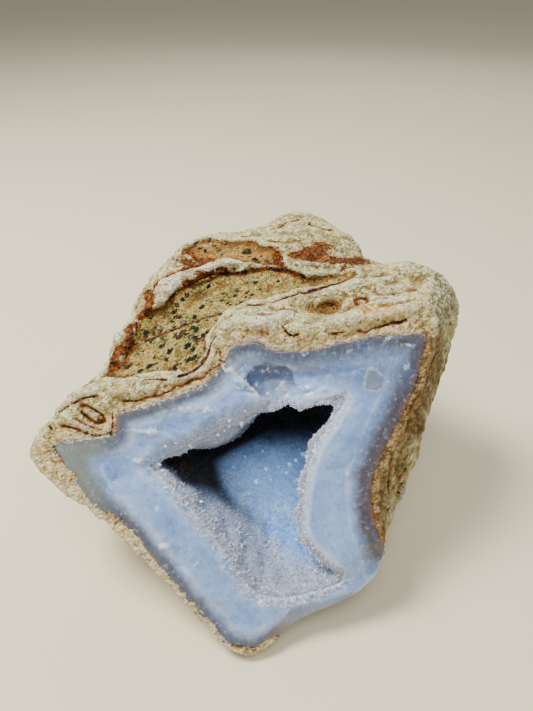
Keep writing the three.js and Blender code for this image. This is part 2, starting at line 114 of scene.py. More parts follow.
# Cracks between the layers: points, how dark (0 rust, 1 almost black) and half width.
CRACKS = [
    ([(3.0, 41.1), (7.2, 41.8), (11.8, 43.0), (16.0, 44.1), (19.9, 45.3), (23.0, 46.3),
      (25.0, 47.6)], 0.85, 0.42),
    ([(-24.4, 32.7), (-20.9, 34.1), (-16.3, 36.0), (-11.6, 38.1), (-8.1, 39.2), (-5.1, 39.9)],
     1.0, 0.2),
    ([(-4.9, 39.3), (-2.1, 40.2), (-0.5, 40.5), (3.0, 41.1)], 0.8, 0.5),
    ([(-5.9, 37.4), (-8.2, 34.4), (-9.4, 32.1), (-9.6, 29.8), (-10.3, 28.2), (-11.5, 26.7),
      (-12.9, 25.5), (-14.6, 24.6), (-17.0, 23.9)], 0.95, 0.36),
    ([(-30.2, 23.5), (-26.7, 24.1), (-23.2, 23.5), (-19.0, 23.2)], 0.9, 0.2),
    ([(-29.3, 18.3), (-26.5, 18.3), (-23.2, 19.3), (-20.9, 19.7), (-18.1, 20.9), (-17.2, 21.8),
      (-15.6, 21.8), (-13.9, 23.0), (-10.9, 23.7), (-9.3, 25.5), (-7.4, 26.5), (-6.7, 28.3),
      (-7.0, 30.2)], 0.2, 0.2),
    ([(-19.5, 40.9), (-18.3, 42.5), (-16.7, 44.1), (-13.9, 45.5), (-10.9, 46.9), (-8.6, 47.8),
      (-5.1, 48.1), (-2.3, 48.1), (1.2, 48.8), (4.2, 49.5), (7.0, 48.8), (9.3, 48.5),
      (11.1, 47.8), (13.0, 46.9)], 0.85, 0.26),
    ([(-23.2, 42.5), (-21.4, 45.0), (-19.0, 46.9), (-16.3, 48.3), (-13.9, 49.7), (-10.4, 50.2),
      (-8.1, 50.6)], 0.6, 0.3),
    ([(9.3, 36.7), (7.4, 36.0), (8.1, 34.8), (9.3, 33.4)], 0.3, 0.14),
    ([(9.1, 33.7), (10.2, 33.4), (11.4, 33.9)], 0.8, 0.26),
    ([(18.8, 33.7), (20.4, 34.1), (22.1, 34.4)], 0.7, 0.14),
    ([(25.1, 34.6), (26.7, 34.1), (28.3, 35.1), (30.2, 35.5), (32.0, 36.0), (33.4, 36.7),
      (34.8, 36.5), (36.7, 37.4)], 0.7, 0.18),
    ([(-43.7, 12.5), (-40.2, 11.8), (-38.3, 10.9), (-36.0, 10.2), (-33.7, 10.2), (-32.3, 11.1),
      (-31.8, 13.7), (-32.3, 15.6)], 0.55, 0.18),
    ([(-42.5, 3.0), (-41.1, 1.4), (-39.9, 0.0), (-38.5, -1.2)], 0.7, 0.16),
    ([(-33.6, -7.6), (-31.4, -9.0), (-29.3, -10.4), (-27.9, -11.1), (-26.7, -12.3)], 0.7, 0.18),
    ([(-37.4, -2.2), (-35.8, -4.4), (-34.6, -6.2)], 0.5, 0.14),
    ([(-24.2, -15.0), (-21.6, -17.8), (-19.0, -21.2)], 0.4, 0.14),
    ([(-15.8, -25.0), (-13.2, -28.6), (-10.6, -31.8)], 0.4, 0.14),
    ([(-40.6, 14.4), (-38.0, 12.9), (-36.0, 12.0), (-34.0, 11.6)], 0.3, 0.12),
    ([(-39.2, 17.3), (-37.8, 17.2), (-36.0, 16.2), (-34.5, 14.9), (-33.9, 13.6), (-35.2, 13.0),
      (-37.0, 13.8), (-38.4, 15.0), (-39.2, 16.2), (-39.2, 17.3)], 0.35, 0.22),
    ([(-44.6, 15.6), (-41.3, 17.6), (-38.6, 19.0), (-35.0, 19.6)], 0.5, 0.12),
    ([(-47.0, 12.8), (-46.2, 11.6)], 0.9, 0.3),
    ([(42.6, 27.1), (39.6, 20.5), (37.5, 17.0), (36.8, 12.4), (33.5, 6.9), (32.0, 1.8),
      (32.3, -3.2)], 0.6, 0.3),
    ([(43.6, 33.0), (42.8, 28.0), (41.0, 23.5), (39.5, 19.0)], 0.8, 0.4),
    ([(36.8, 2.0), (35.4, -2.0), (33.6, -5.4), (32.2, -7.6)], 1.0, 0.6),
    ([(24.4, 41.8), (24.8, 42.5), (25.8, 42.7), (26.7, 42.5), (27.2, 41.8), (26.7, 41.1),
      (25.8, 40.9), (24.8, 41.1), (24.4, 41.8)], 0.45, 0.45),
    ([(5.1, 58.0), (8.1, 59.7), (11.6, 60.4)], 0.1, 0.3),
    ([(13.9, 59.4), (16.7, 58.5), (19.7, 58.0)], 0.1, 0.25),
]

# Iron stains on the rind, each as (x, y, half width, half height, strength).
RUST_STAINS = [
    (-30.4, 29.6, 1.2, 1.8, 1.0), (-23.5, 43.0, 1.6, 1.4, 1.0), (-10.5, 47.9, 4.5, 0.7, 0.7),
    (-7.0, 48.8, 3.0, 0.6, 0.7),
    (-9.5, 51.2, 3.0, 1.2, 0.9), (-14.5, 50.5, 2.5, 1.2, 0.7), (6.0, 51.5, 1.6, 2.4, 0.9),
    (14.8, 52.4, 3.6, 1.9, 1.25), (16.5, 54.0, 2.4, 1.2, 1.1), (20.5, 50.8, 4.0, 0.9, 1.1),
    (24.8, 50.8, 2.6, 1.1, 1.2), (21.8, 49.0, 1.2, 1.2, 0.7), (-35.0, 14.0, 1.2, 1.0, 0.5),
]
# Places where the rind is ochre, white and dark grey-green, given in the same way.
OCHRE_PLACES = [
    (31.0, 39.2, 6.0, 2.0, 1.5), (26.5, 36.9, 3.4, 1.4, 1.2), (40.5, 41.0, 1.6, 2.0, 0.8),
    (18.5, 41.0, 3.5, 1.6, 1.0), (0.0, 33.5, 5.0, 2.0, 0.6), (-30.0, 21.0, 4.0, 1.6, 0.7),
    (-9.3, 27.6, 1.6, 2.0, 1.0), (-33.0, 17.0, 3.0, 2.5, 0.6), (38.0, 33.5, 3.0, 1.5, 0.4),
    (-46.0, 1.5, 3.5, 3.0, 0.6), (-42.0, 8.0, 4.0, 5.0, 0.45), (6.0, 60.0, 9.0, 3.0, 0.35),
]
WHITE_PLACES = [
    (-33.4, 28.6, 1.0, 2.2, 0.8), (-30.6, 34.6, 1.1, 3.0, 0.8), (-27.6, 39.6, 1.1, 2.0, 0.8),
    (-18.0, 45.0, 3.5, 1.8, 1.0), (-9.0, 49.3, 5.0, 1.0, 1.0), (-4.0, 49.8, 3.0, 1.2, 1.0),
    (3.0, 37.5, 7.0, 2.5, 0.7), (24.0, 36.0, 6.0, 1.6, 0.4), (-36.0, 8.5, 6.0, 2.0, 0.6),
    (8.0, 58.0, 6.0, 2.0, 0.2), (32.0, 42.5, 8.0, 3.0, 0.55), (38.0, 38.0, 3.0, 4.0, 0.4),
]
GREY_PLACES = [
    (44.5, 42.0, 3.0, 9.0, 1.0), (44.0, 26.0, 2.5, 12.0, 1.0), (14.0, 50.0, 9.0, 2.0, 0.7),
    (30.0, 46.5, 9.0, 1.6, 0.6), (-24.5, 22.0, 6.0, 1.0, 0.6), (-25.0, 20.8, 5.0, 1.2, 0.5),
    (22.0, 53.5, 5.0, 4.0, 0.6), (10.0, 51.5, 3.0, 2.0, 0.5),
]
# Where the rind behind the right edge is dark olive brown: partly its own olive colour and partly painted
# shade between its folds.
BROWN_PLACES = [
    (42.5, 25.0, 2.2, 5.0, 1.0), (38.5, 14.0, 2.2, 5.0, 1.0), (35.0, 3.0, 2.0, 6.0, 1.0),
    (40.5, 19.0, 2.0, 5.0, 0.9), (16.5, 39.4, 4.0, 1.0, 0.7), (-14.0, 50.0, 3.0, 1.0, 0.5),
    (39.8, 26.0, 1.8, 9.0, 0.62), (36.0, 11.5, 2.4, 8.0, 0.62), (31.4, -2.0, 2.4, 8.0, 0.62),
    (30.0, -12.5, 1.8, 5.0, 0.6), (43.6, 30.0, 1.6, 6.0, 0.9),
]
# The broken rind along the right edge of the chalcedony, which is browner than the rest.
WORN_EDGE = [(41.3, 32.5), (39.0, 20.9), (32.0, 7.0), (28.8, -2.3), (29.7, -9.3), (30.9, -13.5)]
# Large dark minerals in the host rock behind: places and half sizes.
BIG_SPECKS = [
    (-0.7, 53.5, 1.5, 1.0), (-4.0, 51.5, 1.6, 0.6), (1.2, 51.6, 1.0, 0.55), (3.9, 51.3, 0.8, 0.5),
    (-15.6, 42.2, 0.8, 0.7), (-3.2, 44.2, 0.8, 0.5), (-14.0, 33.4, 0.7, 0.8),
    (-22.6, 34.5, 0.6, 0.9),
    (-11.4, 27.8, 0.9, 0.5), (-19.6, 28.3, 0.8, 0.6), (-11.2, 33.8, 0.7, 0.9),
    (-20.6, 33.2, 0.5, 0.7),
]
# Folds in the rind: points, height (less than nothing is a groove) and half width.
FOLDS = [
    (WHITE_ROLL, 1.2, 1.5),
    ([(-19.0, 43.2), (-15.0, 45.2), (-10.5, 47.0), (-6.0, 48.6), (-2.0, 48.9)], -0.6, 0.7),
    ([(7.0, 41.2), (13.0, 43.4), (19.0, 44.6), (25.0, 45.4), (32.0, 46.4)], 0.7, 1.4),
    ([(1.0, 36.2), (8.0, 38.2), (13.0, 37.6), (19.0, 37.2), (24.0, 38.0)], 0.7, 1.5),
    ([(24.0, 37.0), (30.0, 38.2), (36.0, 39.6), (40.0, 40.6)], 0.8, 1.5),
    ([(22.0, 42.8), (30.0, 43.0), (38.0, 44.2)], -0.5, 1.2),
    ([(28.0, 48.0), (35.0, 49.0), (42.0, 47.5)], 0.6, 1.5),
    ([(-43.0, 15.0), (-40.0, 13.6), (-36.0, 11.8), (-33.2, 12.0)], 0.6, 0.9),
    ([(38.6, 22.0), (36.6, 16.0), (35.4, 11.0), (31.6, 5.0), (30.6, -2.0)], 0.5, 1.1),
    ([(40.8, 17.0), (38.6, 11.5), (35.6, 5.8), (34.2, -1.0)], 0.6, 1.2),
    ([(-24.0, 46.0), (-18.0, 50.0), (-12.0, 52.6)], 0.5, 1.0),
    ([(-34.0, 27.6), (-31.4, 32.6), (-29.6, 36.6), (-26.6, 40.8)], 0.7, 1.0),
    ([(-32.0, 20.6), (-24.0, 21.4), (-16.0, 23.6), (-9.6, 25.6), (-8.2, 29.0)], 0.6, 1.1),
]
# The water-worn pocket in the rind on the right.
POCKET = (17.6, 40.6, 4.6, 1.7)

# The cracks at the bruised edges of the chalcedony, and its small windows and chips.
FROST_PLACES = [
    (-24.0, 11.5, 6.0, 1.3, 1.0), (-12.0, 16.5, 7.0, 1.4, 1.0), (-2.5, 24.0, 3.0, 6.0, 0.7),
    (6.0, 25.0, 8.0, 1.5, 0.7), (12.0, 20.5, 8.0, 1.2, 0.7), (-31.5, -0.5, 0.7, 0.7, 1.3),
    (-21.5, -6.5, 0.7, 1.3, 1.3), (-20.0, -15.2, 1.3, 1.0, 1.3), (22.6, 1.3, 0.8, 0.8, 1.3),
    (36.6, 26.2, 1.0, 0.9, 1.2), (37.0, 31.4, 1.0, 0.6, 1.2), (-26.0, 4.6, 1.6, 1.2, 0.8),
]
WINDOW = (28.6, 23.2, 2.3, 3.0)
# Shell-shaped flakes broken out of the chalcedony: place, half sizes and depth.
FLAKES = [
    (4.8, 22.4, 7.4, 4.3, 1.3), (13.8, 23.4, 5.0, 3.6, 0.7), (11.6, 19.2, 3.6, 1.9, 0.6),
    (22.0, 27.4, 6.0, 3.4, 0.6), (-15.0, 13.0, 7.0, 3.4, 0.6), (-25.0, 8.0, 5.0, 3.4, 0.5),
    (-30.0, 1.0, 4.0, 6.0, 0.5), (-17.0, -19.0, 3.4, 7.0, 0.5), (24.0, 2.0, 4.0, 9.0, 0.5),
    (28.0, -20.0, 4.0, 5.0, 0.6), (-6.0, -32.0, 5.0, 4.0, 0.5),
]
# The edge above the smooth face at the lower right: x and y of its points.
UNDER_EDGE = ([1.7, 7.0, 9.3, 13.9, 18.6, 25.0], [-38.9, -33.7, -30.6, -29.4, -29.0, -27.4])
WHITE_RIDGE = [(-5.6, 27.2), (-3.6, 24.2), (-1.0, 22.2), (1.4, 19.2)]
# Where the hollow's back wall meets its slope, and where a recess runs under its roof: painted shade
# follows both lines.
CREASE = [
    (-10.2, 1.9), (-6.0, -3.9), (-1.9, -7.7), (3.9, -11.4), (9.3, -13.0), (12.4, -17.2),
    (16.7, -21.4), (19.7, -24.1),
]
RECESS = [(-18.0, 4.4), (-7.1, 6.8), (-0.7, 10.7), (4.0, 15.6), (12.0, 16.2), (22.0, 14.6)]
# The low line where the slope meets the hollow's floor, which the crust fills.
VALLEY = [(-3.4, -8.0), (-1.2, -12.0), (0.4, -18.0), (2.4, -25.0)]
# Iron-stained seams along the host rock's edges: points and half width.
RUST_SEAMS = [
    ([(-31.4, 27.0), (-30.4, 29.4), (-29.0, 31.6), (-27.8, 33.9), (-26.9, 36.7), (-25.4, 38.3),
      (-24.2, 39.9), (-23.5, 42.0), (-24.0, 43.8)], 1.05),
    ([(-15.0, 45.4), (-12.0, 46.8), (-9.0, 47.8), (-6.5, 48.7), (-5.0, 48.9)], 0.6),
    ([(-23.2, 42.5), (-21.4, 45.0), (-19.0, 46.9), (-16.3, 48.3), (-13.9, 49.7), (-10.4, 50.2)],
     0.5),
    ([(6.2, 53.0), (6.8, 51.2), (6.2, 50.0), (8.6, 48.9)], 0.8), ([(-15.0, 53.0), (-12.6, 51.6),
      (-10.8, 50.9)], 0.9),
    ([(11.0, 52.2), (13.2, 53.0), (15.6, 53.6), (17.4, 54.4)], 1.5), ([(13.0, 51.2),
      (17.0, 51.6), (21.0, 51.0), (26.6, 50.8)], 0.9),
]
# The lips of the hollow's mouth: points, how wide each is and how far it rolls inwards.
LIPS = [
    ([(-19.7, 3.2), (-8.5, 10.0), (2.8, 17.4)], 4.2, 3.2),
    ([(4.0, 17.6), (13.0, 17.0), (22.0, 18.2)], 1.0, 0.4),
    ([(22.1, 17.9), (15.8, 9.3), (12.3, -4.6), (13.9, -15.1), (22.0, -24.0)], 1.8, 1.3),
    ([(-20.9, 2.3), (-14.0, -8.0), (-8.0, -17.0), (-2.3, -25.5)], 3.0, 1.2),
    ([(2.3, -27.9), (12.0, -28.4), (22.1, -25.1)], 3.2, 1.4),
]


class Socket:
    """A shader value or colour. Arithmetic on it adds the nodes that work it out."""

    def __init__(self, tree, output):
        self.tree = tree
        self.output = output

    def _maths(self, operation, *values, clamp=False):
        settings = {"operation": operation, "use_clamp": clamp}
        return node(self.tree, "ShaderNodeMath", settings, values)

    def __add__(self, other):
        return self._maths("ADD", self, other)

    def __sub__(self, other):
        return self._maths("SUBTRACT", self, other)

    def __rsub__(self, other):
        return self._maths("SUBTRACT", other, self)

    def __mul__(self, other):
        return self._maths("MULTIPLY", self, other)

    def __truediv__(self, other):
        return self._maths("DIVIDE", self, other)

    def __abs__(self):
        return self._maths("ABSOLUTE", self)

    def __neg__(self):
        return self._maths("MULTIPLY", self, -1.0)

    __radd__ = __add__
    __rmul__ = __mul__

    def rises(self, low, high):
        """0 below low, 1 above high, with a smooth step between them."""
        settings = {"interpolation_type": "SMOOTHSTEP", "clamp": True}
        values = {"Value": self, "From Min": low, "From Max": high}
        return node(self.tree, "ShaderNodeMapRange", settings, values)

    def falls(self, low, high):
        return 1.0 - self.rises(low, high)

    def clamped(self):
        return self._maths("ADD", self, 0.0, clamp=True)


def node(tree, kind, settings, values, output=0):
    """Adds a node with its settings, and fills its sockets with values or links."""
    made = tree.nodes.new(kind)
    for key, value in settings.items():
        setattr(made, key, value)
    pairs = values.items() if isinstance(values, dict) else enumerate(values)
    for name, value in pairs:
        socket = made.inputs[name]
        if isinstance(value, Socket):
            tree.links.new(value.output, socket)
        elif isinstance(value, (tuple, list)) and socket.type == "RGBA" and len(value) == 3:
            socket.default_value = (*value, 1.0)
        else:
            socket.default_value = value
    return Socket(tree, made.outputs[output])


class Finish:
    """A new material: its node tree, its Principled shader and the patterns that it uses."""

    def __init__(self, name, **constants):
        self.material = bpy.data.materials.new(name)
        self.material.use_nodes = True
        self.tree = self.material.node_tree
        self.shader = next(n for n in self.tree.nodes if n.type == "BSDF_PRINCIPLED")
        for socket, value in constants.items():
            self.shader.inputs[socket.replace("_", " ")].default_value = value
        self.place = node(self.tree, "ShaderNodeTexCoord", {}, {}, "Object")

    def feed(self, name, value):
        self.tree.links.new(value.output, self.shader.inputs[name])

    def value(self, attribute):
        settings = {"attribute_name": attribute}
        return node(self.tree, "ShaderNodeAttribute", settings, {}, "Fac")

    def noise(self, size, detail=3.0, rough=0.55, place=None):
        """Cloudy noise about 0.5, with lumps of a size in millimetres."""
        values = {
            "Vector": place or self.place,
            "Scale": 1 / (size * MM),
            "Detail": detail,
            "Roughness": rough,
        }
        return node(self.tree, "ShaderNodeTexNoise", {}, values, "Fac")

    def cells(self, size, output="Distance", place=None):
        """Cells of a size in millimetres: the distance from their middles, or a random shade."""
        values = {"Vector": place or self.place, "Scale": 1 / (size * MM)}
        return node(self.tree, "ShaderNodeTexVoronoi", {}, values, output)

    def drawn_out(self, angle, share):
        """Pattern space drawn out in one direction on the break, so that its marks lie along it."""
        along = math.cos(angle) * RIGHT + math.sin(angle) * UP_BREAK
        across = -math.sin(angle) * RIGHT + math.cos(angle) * UP_BREAK
        parts = []
        for way in (along * share, across, INTO):
            values = {0: self.place, 1: tuple(way)}
            settings = {"operation": "DOT_PRODUCT"}
            parts.append(node(self.tree, "ShaderNodeVectorMath", settings, values, "Value"))
        return node(self.tree, "ShaderNodeCombineXYZ", {}, parts)

    def mix(self, amount, first, second):
        """The first colour, with an amount of the second one over it."""
        values = {0: amount, 6: first, 7: second}
        return node(self.tree, "ShaderNodeMix", {"data_type": "RGBA"}, values, 2)

    def sine(self, value):
        return node(self.tree, "ShaderNodeMath", {"operation": "SINE"}, [value])

    def bump(self, height, strength, distance, under=None):
        values = {"Height": height, "Strength": strength, "Distance": distance * MM}
        if under:
            values["Normal"] = under
        return node(self.tree, "ShaderNodeBump", {}, values, "Normal")


# Heights in millimetres of the rind's fine ledges and of the layers on its unseen sides.
LEDGE_HEIGHT = 2.6
LAYER_HEIGHT = 8.5


def linear(red, green, blue):
    """A colour as it is seen on a screen, from 0 to 255, as Blender's linear numbers."""
    shares = (red / 255, green / 255, blue / 255)
    return tuple(((c + 0.055) / 1.055) ** 2.4 if c > 0.04 else c / 12.92 for c in shares)


def tints(**colours):
    """Colours as they are seen on a screen, each under its name."""
    return SimpleNamespace(**{name: linear(*colour) for name, colour in colours.items()})


def smooth(value, low, high):
    """0 below low, 1 above high, with a smooth step between them."""
    share = np.clip((value - low) / (high - low), 0.0, 1.0)
    return share * share * (3 - 2 * share)


def mound(x, y, x0, y0, width, height):
    """A round hill of height 1 at (x0, y0), with its half width and half height."""
    return np.exp(-(((x - x0) / width) ** 2) - ((y - y0) / height) ** 2)


def places(xy, marks):
    """How strongly each point is marked by a list of round places."""
    total = np.zeros(len(xy))
    for x0, y0, width, height, strength in marks:
        total = np.maximum(total, strength * mound(xy[:, 0], xy[:, 1], x0, y0, width, height))
    return total


def lumps(points, size, octaves=3, shift=0.0):
    """Noise at each point, with lumps of a size in millimetres."""
    spots = (points / size + shift).tolist()
    return np.array([noise.fractal(spot, 1.0, 2.0, octaves) for spot in spots])


def pebbles(points, size, shift=0.0):
    """Round-topped grains: 1 in the middle of each and 0 between them."""
    spots = [noise.noise(p, noise_basis="VORONOI_F1") for p in (points / size + shift).tolist()]
    return 1 - np.clip(0.5 + 0.5 * np.array(spots), 0, 1) * 1.2


def to_break(points):
    """Each point as x and y on the break and how deep it lies behind the break's plane."""
    moved = points - BREAK_MIDDLE
    return np.stack([moved @ RIGHT, moved @ UP_BREAK, moved @ INTO], axis=1)


def seen(on_break):
    """Where the eye sees points on the plane of the break."""
    share = EYE_DISTANCE / (EYE_DISTANCE + on_break[:, 2:3])
    return EYE_ON_BREAK + (on_break[:, :2] - EYE_ON_BREAK) * share


def sight_line_hits(outline, tree, closed=False, step=0.35):
    """The points of a line drawn on the eye's view, laid on the stone along the lines of sight."""
    corners = [np.array(p) for p in outline]
    if closed:
        corners.append(corners[0])
    hits = []
    for start, end in zip(corners, corners[1:]):
        count = max(1, int(np.linalg.norm(end - start) / step))
        for share in np.arange(count) / count:
            x, y = start + (end - start) * share
            target = BREAK_MIDDLE + x * RIGHT + y * UP_BREAK
            ray = Vector(target - EYE).normalized()
            hit = tree.ray_cast(Vector(EYE) * MM, ray)[0]
            if hit is not None:
                hits.append(hit / MM)
    return hits


def falloff(away, half_width):
    """1 on a line and falling off beside it, by the distance away from the line."""
    return np.exp(-((away / half_width) ** 2))


def patches(points, size, low, high, shift):
    """Soft patches all over the stone, between 0 and 1."""
    return smooth(lumps(points, size, 2, shift=shift), low, high)


def distance_to(points, marks):
    """The distance from each point to the nearest of the marks."""
    tree = KDTree(len(marks))
    for i, mark in enumerate(marks):
        tree.insert(mark, i)
    tree.balance()
    return np.array([tree.find(p)[2] for p in points.tolist()])


def inside(outline, xy):
    """Whether each point is inside a closed outline."""
    found = np.zeros(len(xy), bool)
    for (x1, y1), (x2, y2) in zip(outline, outline[1:] + outline[:1]):
        crosses = (y1 > xy[:, 1]) != (y2 > xy[:, 1])
        at = x1 + (xy[:, 1] - y1) * (x2 - x1) / ((y2 - y1) or 1e-9)
        found ^= crosses & (xy[:, 0] < at)
    return found


def break_depth(x, y):
    """How deep the broken front lies behind its plane, as in the solids."""
    scoop = 3 * mound(x, y, 9, 23, 14, 6) * smooth(x + 0.75 * (y - 22), -2.5, 0.5)
    rolled_corner = 3.6 * smooth(0.6 * x - 0.8 * y, 26, 40) * smooth(x, -2, 14)
    nub = 2.4 * smooth(-x, 41, 51)
    shoulder = 1.4 * smooth(x, 32, 44)
    swell = 0.9 * mound(x, y, -15, 14, 12, 6) + 0.7 * mound(x, y, -16, -14, 9, 12)
    return scoop + rolled_corner + nub + shoulder - swell


def to_line(xy, line):
    """The distance of points from a line drawn on the break."""
    nearest = np.full(len(xy), 99.0)
    corners = [np.array(p) for p in line]
    for start, end in zip(corners, corners[1:]):
        run = end - start
        share = np.clip((xy - start) @ run / (run @ run), 0, 1)
        nearest = np.minimum(nearest, np.linalg.norm(xy - start - share[:, None] * run, axis=1))
    return nearest


def lip_roll(xy, away):
    """How far the mouth's edge rolls in, for points at a distance away from the hollow."""
    distances = np.array([to_line(xy, line) for line, _, _ in LIPS])
    share = np.exp(-((distances / 3.0) ** 2)) + 1e-6
    share /= share.sum(axis=0)
    width = share.T @ np.array([w for _, w, _ in LIPS])
    drop = share.T @ np.array([d for _, _, d in LIPS])
    inward = np.clip(1 - away / width, 0, 1.6)
    return drop * inward**2, inward


def dents(made, rounds=14):
    """How far each vertex lies below the smoothed surface round it, in millimetres."""
    edges = np.empty(len(made.data.edges) * 2, np.int32)
    made.data.edges.foreach_get("vertices", edges)
    first, second = edges.reshape(-1, 2).T
    points, normals = points_of(made), normals_of(made)
    count = np.bincount(edges, minlength=len(points))[:, None]
    smoothed = points
    for _ in range(rounds):
        total = np.zeros_like(points)
        for axis in range(3):
            total[:, axis] = np.bincount(first, smoothed[second, axis], len(points))
            total[:, axis] += np.bincount(second, smoothed[first, axis], len(points))
        smoothed = 0.3 * smoothed + 0.7 * total / count
    return np.einsum("ij,ij->i", smoothed - points, normals)


def select_only(made):
    bpy.ops.object.select_all(action="DESELECT")
    made.select_set(True)
    bpy.context.view_layer.objects.active = made


def merged_copy(node_name, name):
    """A mesh that starts as a copy of a CAD node, with its loose triangles merged."""
    select_only(frame["nodes"][node_name])
    bpy.ops.object.duplicate()
    made = bpy.context.view_layer.objects.active
    bpy.ops.object.parent_clear(type="CLEAR_KEEP_TRANSFORM")
    made.data = made.data.copy()
    made.name = made.data.name = name
    made.data.materials.clear()
    bpy.ops.object.mode_set(mode="EDIT")
    bpy.ops.mesh.select_all(action="SELECT")
    bpy.ops.mesh.remove_doubles(threshold=1e-6)
    bpy.ops.object.mode_set(mode="OBJECT")
    for key in list(made.keys()):
        del made[key]
    return made


def apply_modifier(made, kind, **settings):
    modifier = made.modifiers.new(kind.title(), kind)
    for key, value in settings.items():
        setattr(modifier, key, value)
    select_only(made)
    bpy.ops.object.modifier_apply(modifier=modifier.name)


def remesh(made, voxel, rounds):
    """Gives the mesh even faces and softens it, over a number of rounds."""
    apply_modifier(made, "REMESH", mode="VOXEL", voxel_size=voxel * MM, adaptivity=0.0)
    apply_modifier(made, "SMOOTH", factor=0.5, iterations=rounds)


def points_of(made):
    flat = np.empty(len(made.data.vertices) * 3, np.float32)
    made.data.vertices.foreach_get("co", flat)
    return flat.reshape(-1, 3).astype(float) / MM


def normals_of(made):
    flat = np.empty(len(made.data.vertices) * 3, np.float32)
    made.data.vertex_normals.foreach_get("vector", flat)
    return flat.reshape(-1, 3).astype(float)


def move_to(made, points):
    made.data.vertices.foreach_set("co", (points * MM).astype(np.float32).ravel())
    made.data.update()


def keep(made, **values):
    """Stores a value for each vertex, which the materials read."""
    for name, numbers in values.items():
        layer = made.data.attributes.new(name, "FLOAT", "POINT")
        layer.data.foreach_set("value", numbers.astype(np.float32))


def tree_of(made):
    corners = [v.co for v in made.data.vertices]
    return BVHTree.FromPolygons(corners, [tuple(p.vertices) for p in made.data.polygons])


def gap_to(tree, points):
    """The distance from each point to a surface."""
    return np.array([tree.find_nearest(Vector(p) * MM)[3] for p in points.tolist()]) / MM


def flush(points, weights, depth):
    """The moves that bring points to the broken front, by their weights, a depth behind it."""
    on_break = to_break(points)
    target = break_depth(on_break[:, 0], on_break[:, 1]) + depth
    return ((target - on_break[:, 2]) * weights)[:, None] * INTO


def reach(points, tree, gaps, past):
    """Moves the points that lie close to a surface onto it and a little past it."""
    moved = points.copy()
    for i in np.flatnonzero(gaps < 0.75):
        point = Vector(points[i]) * MM
        found, _, _, gap = tree.find_nearest(point)
        if gap > 1e-7:
            share = float(1 - smooth(gaps[i], 0.45, 0.75)) * (1 + past * MM / gap)
            moved[i] = (point + (found - point) * share) / MM
    return moved


class Triangles:
    """The triangles of a mesh, to scatter things on."""

    def __init__(self, a, b, c, value):
        self.a, self.b, self.c, self.value = a, b, c, value
        across = np.cross(b - a, c - a)
        length = np.linalg.norm(across, axis=1)
        self.area = length / 2
        self.facing = across / (length[:, None] + 1e-12)
        self.middle = (a + b + c) / 3

    def scatter(self, draw, weight, count):
        """Random places on the triangles and which way they face, by the triangles' weights."""
        chosen = draw.choice(len(weight), count, p=weight / weight.sum())
        u, v = draw.random((2, count))
        swap = u + v > 1
        u, v = np.where(swap, 1 - u, u)[:, None], np.where(swap, 1 - v, v)[:, None]
        a, b, c = self.a[chosen], self.b[chosen], self.c[chosen]
        return a + u * (b - a) + v * (c - a), self.facing[chosen]


def triangles_of(made, attribute=None):
    mesh = made.data
    mesh.calc_loop_triangles()
    corners = np.empty(len(mesh.loop_triangles) * 3, np.int32)
    mesh.loop_triangles.foreach_get("vertices", corners)
    corners = corners.reshape(-1, 3)
    points = points_of(made)
    value = np.zeros(len(points), np.float32)
    if attribute:
        mesh.attributes[attribute].data.foreach_get("value", value)
    return Triangles(*(points[corners[:, k]] for k in range(3)), value[corners].mean(axis=1))


def thin_out(made, weights, target):
    """Reduces the mesh to a number of triangles, most where the weights are high."""
    group = made.vertex_groups.new(name="hidden")
    for level in range(1, 5):
        chosen = np.flatnonzero((weights > (level - 0.5) / 4) & (weights <= (level + 0.5) / 4))
        group.add(chosen.tolist(), level / 4, "REPLACE")
    triangles = sum(len(p.vertices) - 2 for p in made.data.polygons)
    if triangles > target:
        apply_modifier(
            made, "DECIMATE", decimate_type="COLLAPSE", ratio=target / triangles,
            vertex_group=group.name, vertex_group_factor=1.0,
        )
    made.vertex_groups.clear()


def settle(made, material, node_name):
    """Gives the piece its material, puts it on the root body and hides the CAD node that it takes the
    place of.
    """
    made.data.materials.clear()
    made.data.materials.append(material)
    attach(made, "root")
    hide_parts(node_name)


def length(name, description, default, low=0.0):
    """A length in millimetres that the user can change."""
    described = description + ", in mm"
    return FloatProperty(name=name, description=described, default=default, min=low, max=2.0)


def count(name, description, default):
    """A number of things that the user can change."""
    return IntProperty(name=name, description=description, default=default, min=10)


def colour(name, description, seen_colour):
    """A colour that the user can change, given as it is seen on a screen."""
    return FloatVectorProperty(
        name=name, description=description, default=linear(*seen_colour),
        min=0.0, max=1.0, subtype="COLOR",
    )


def power(name, description, watts):
    """A light's power that the user can change."""
    return FloatProperty(name=name, description=description, default=watts, min=0.0, unit="POWER")


class RockLook(bpy.types.PropertyGroup):
    voxel: length("Mesh size", "Edge of the mesh's faces", 0.5, low=0.3)
    lump: length("Lumps", "Height of the rind's lumps", 0.9)
    grain: length("Grain", "Height of the rind's grains", 0.12)
    triangles: count("Triangles", "Most triangles in the rock", 190000)
    cream: colour("Cream", "Pale rind", (210, 200, 132))
    olive: colour("Olive", "Shaded rind", (158, 148, 86))
    host: colour("Host rock", "Bare rock", (176, 152, 80))
    speck: colour("Specks", "Dark green specks", (0, 20, 10))
    rust: colour("Rust", "Iron stain", (124, 60, 0))


class WallLook(bpy.types.PropertyGroup):
    voxel: length("Mesh size", "Edge of the mesh's faces", 0.45, low=0.3)
    triangles: count("Triangles", "Most triangles in the wall", 120000)
    blue: colour("Blue", "Main band", (122, 158, 214))
    pale: colour("Pale", "Pale bands", (164, 184, 218))
    mauve: colour("Mauve", "Band at the rind", (72, 64, 68))


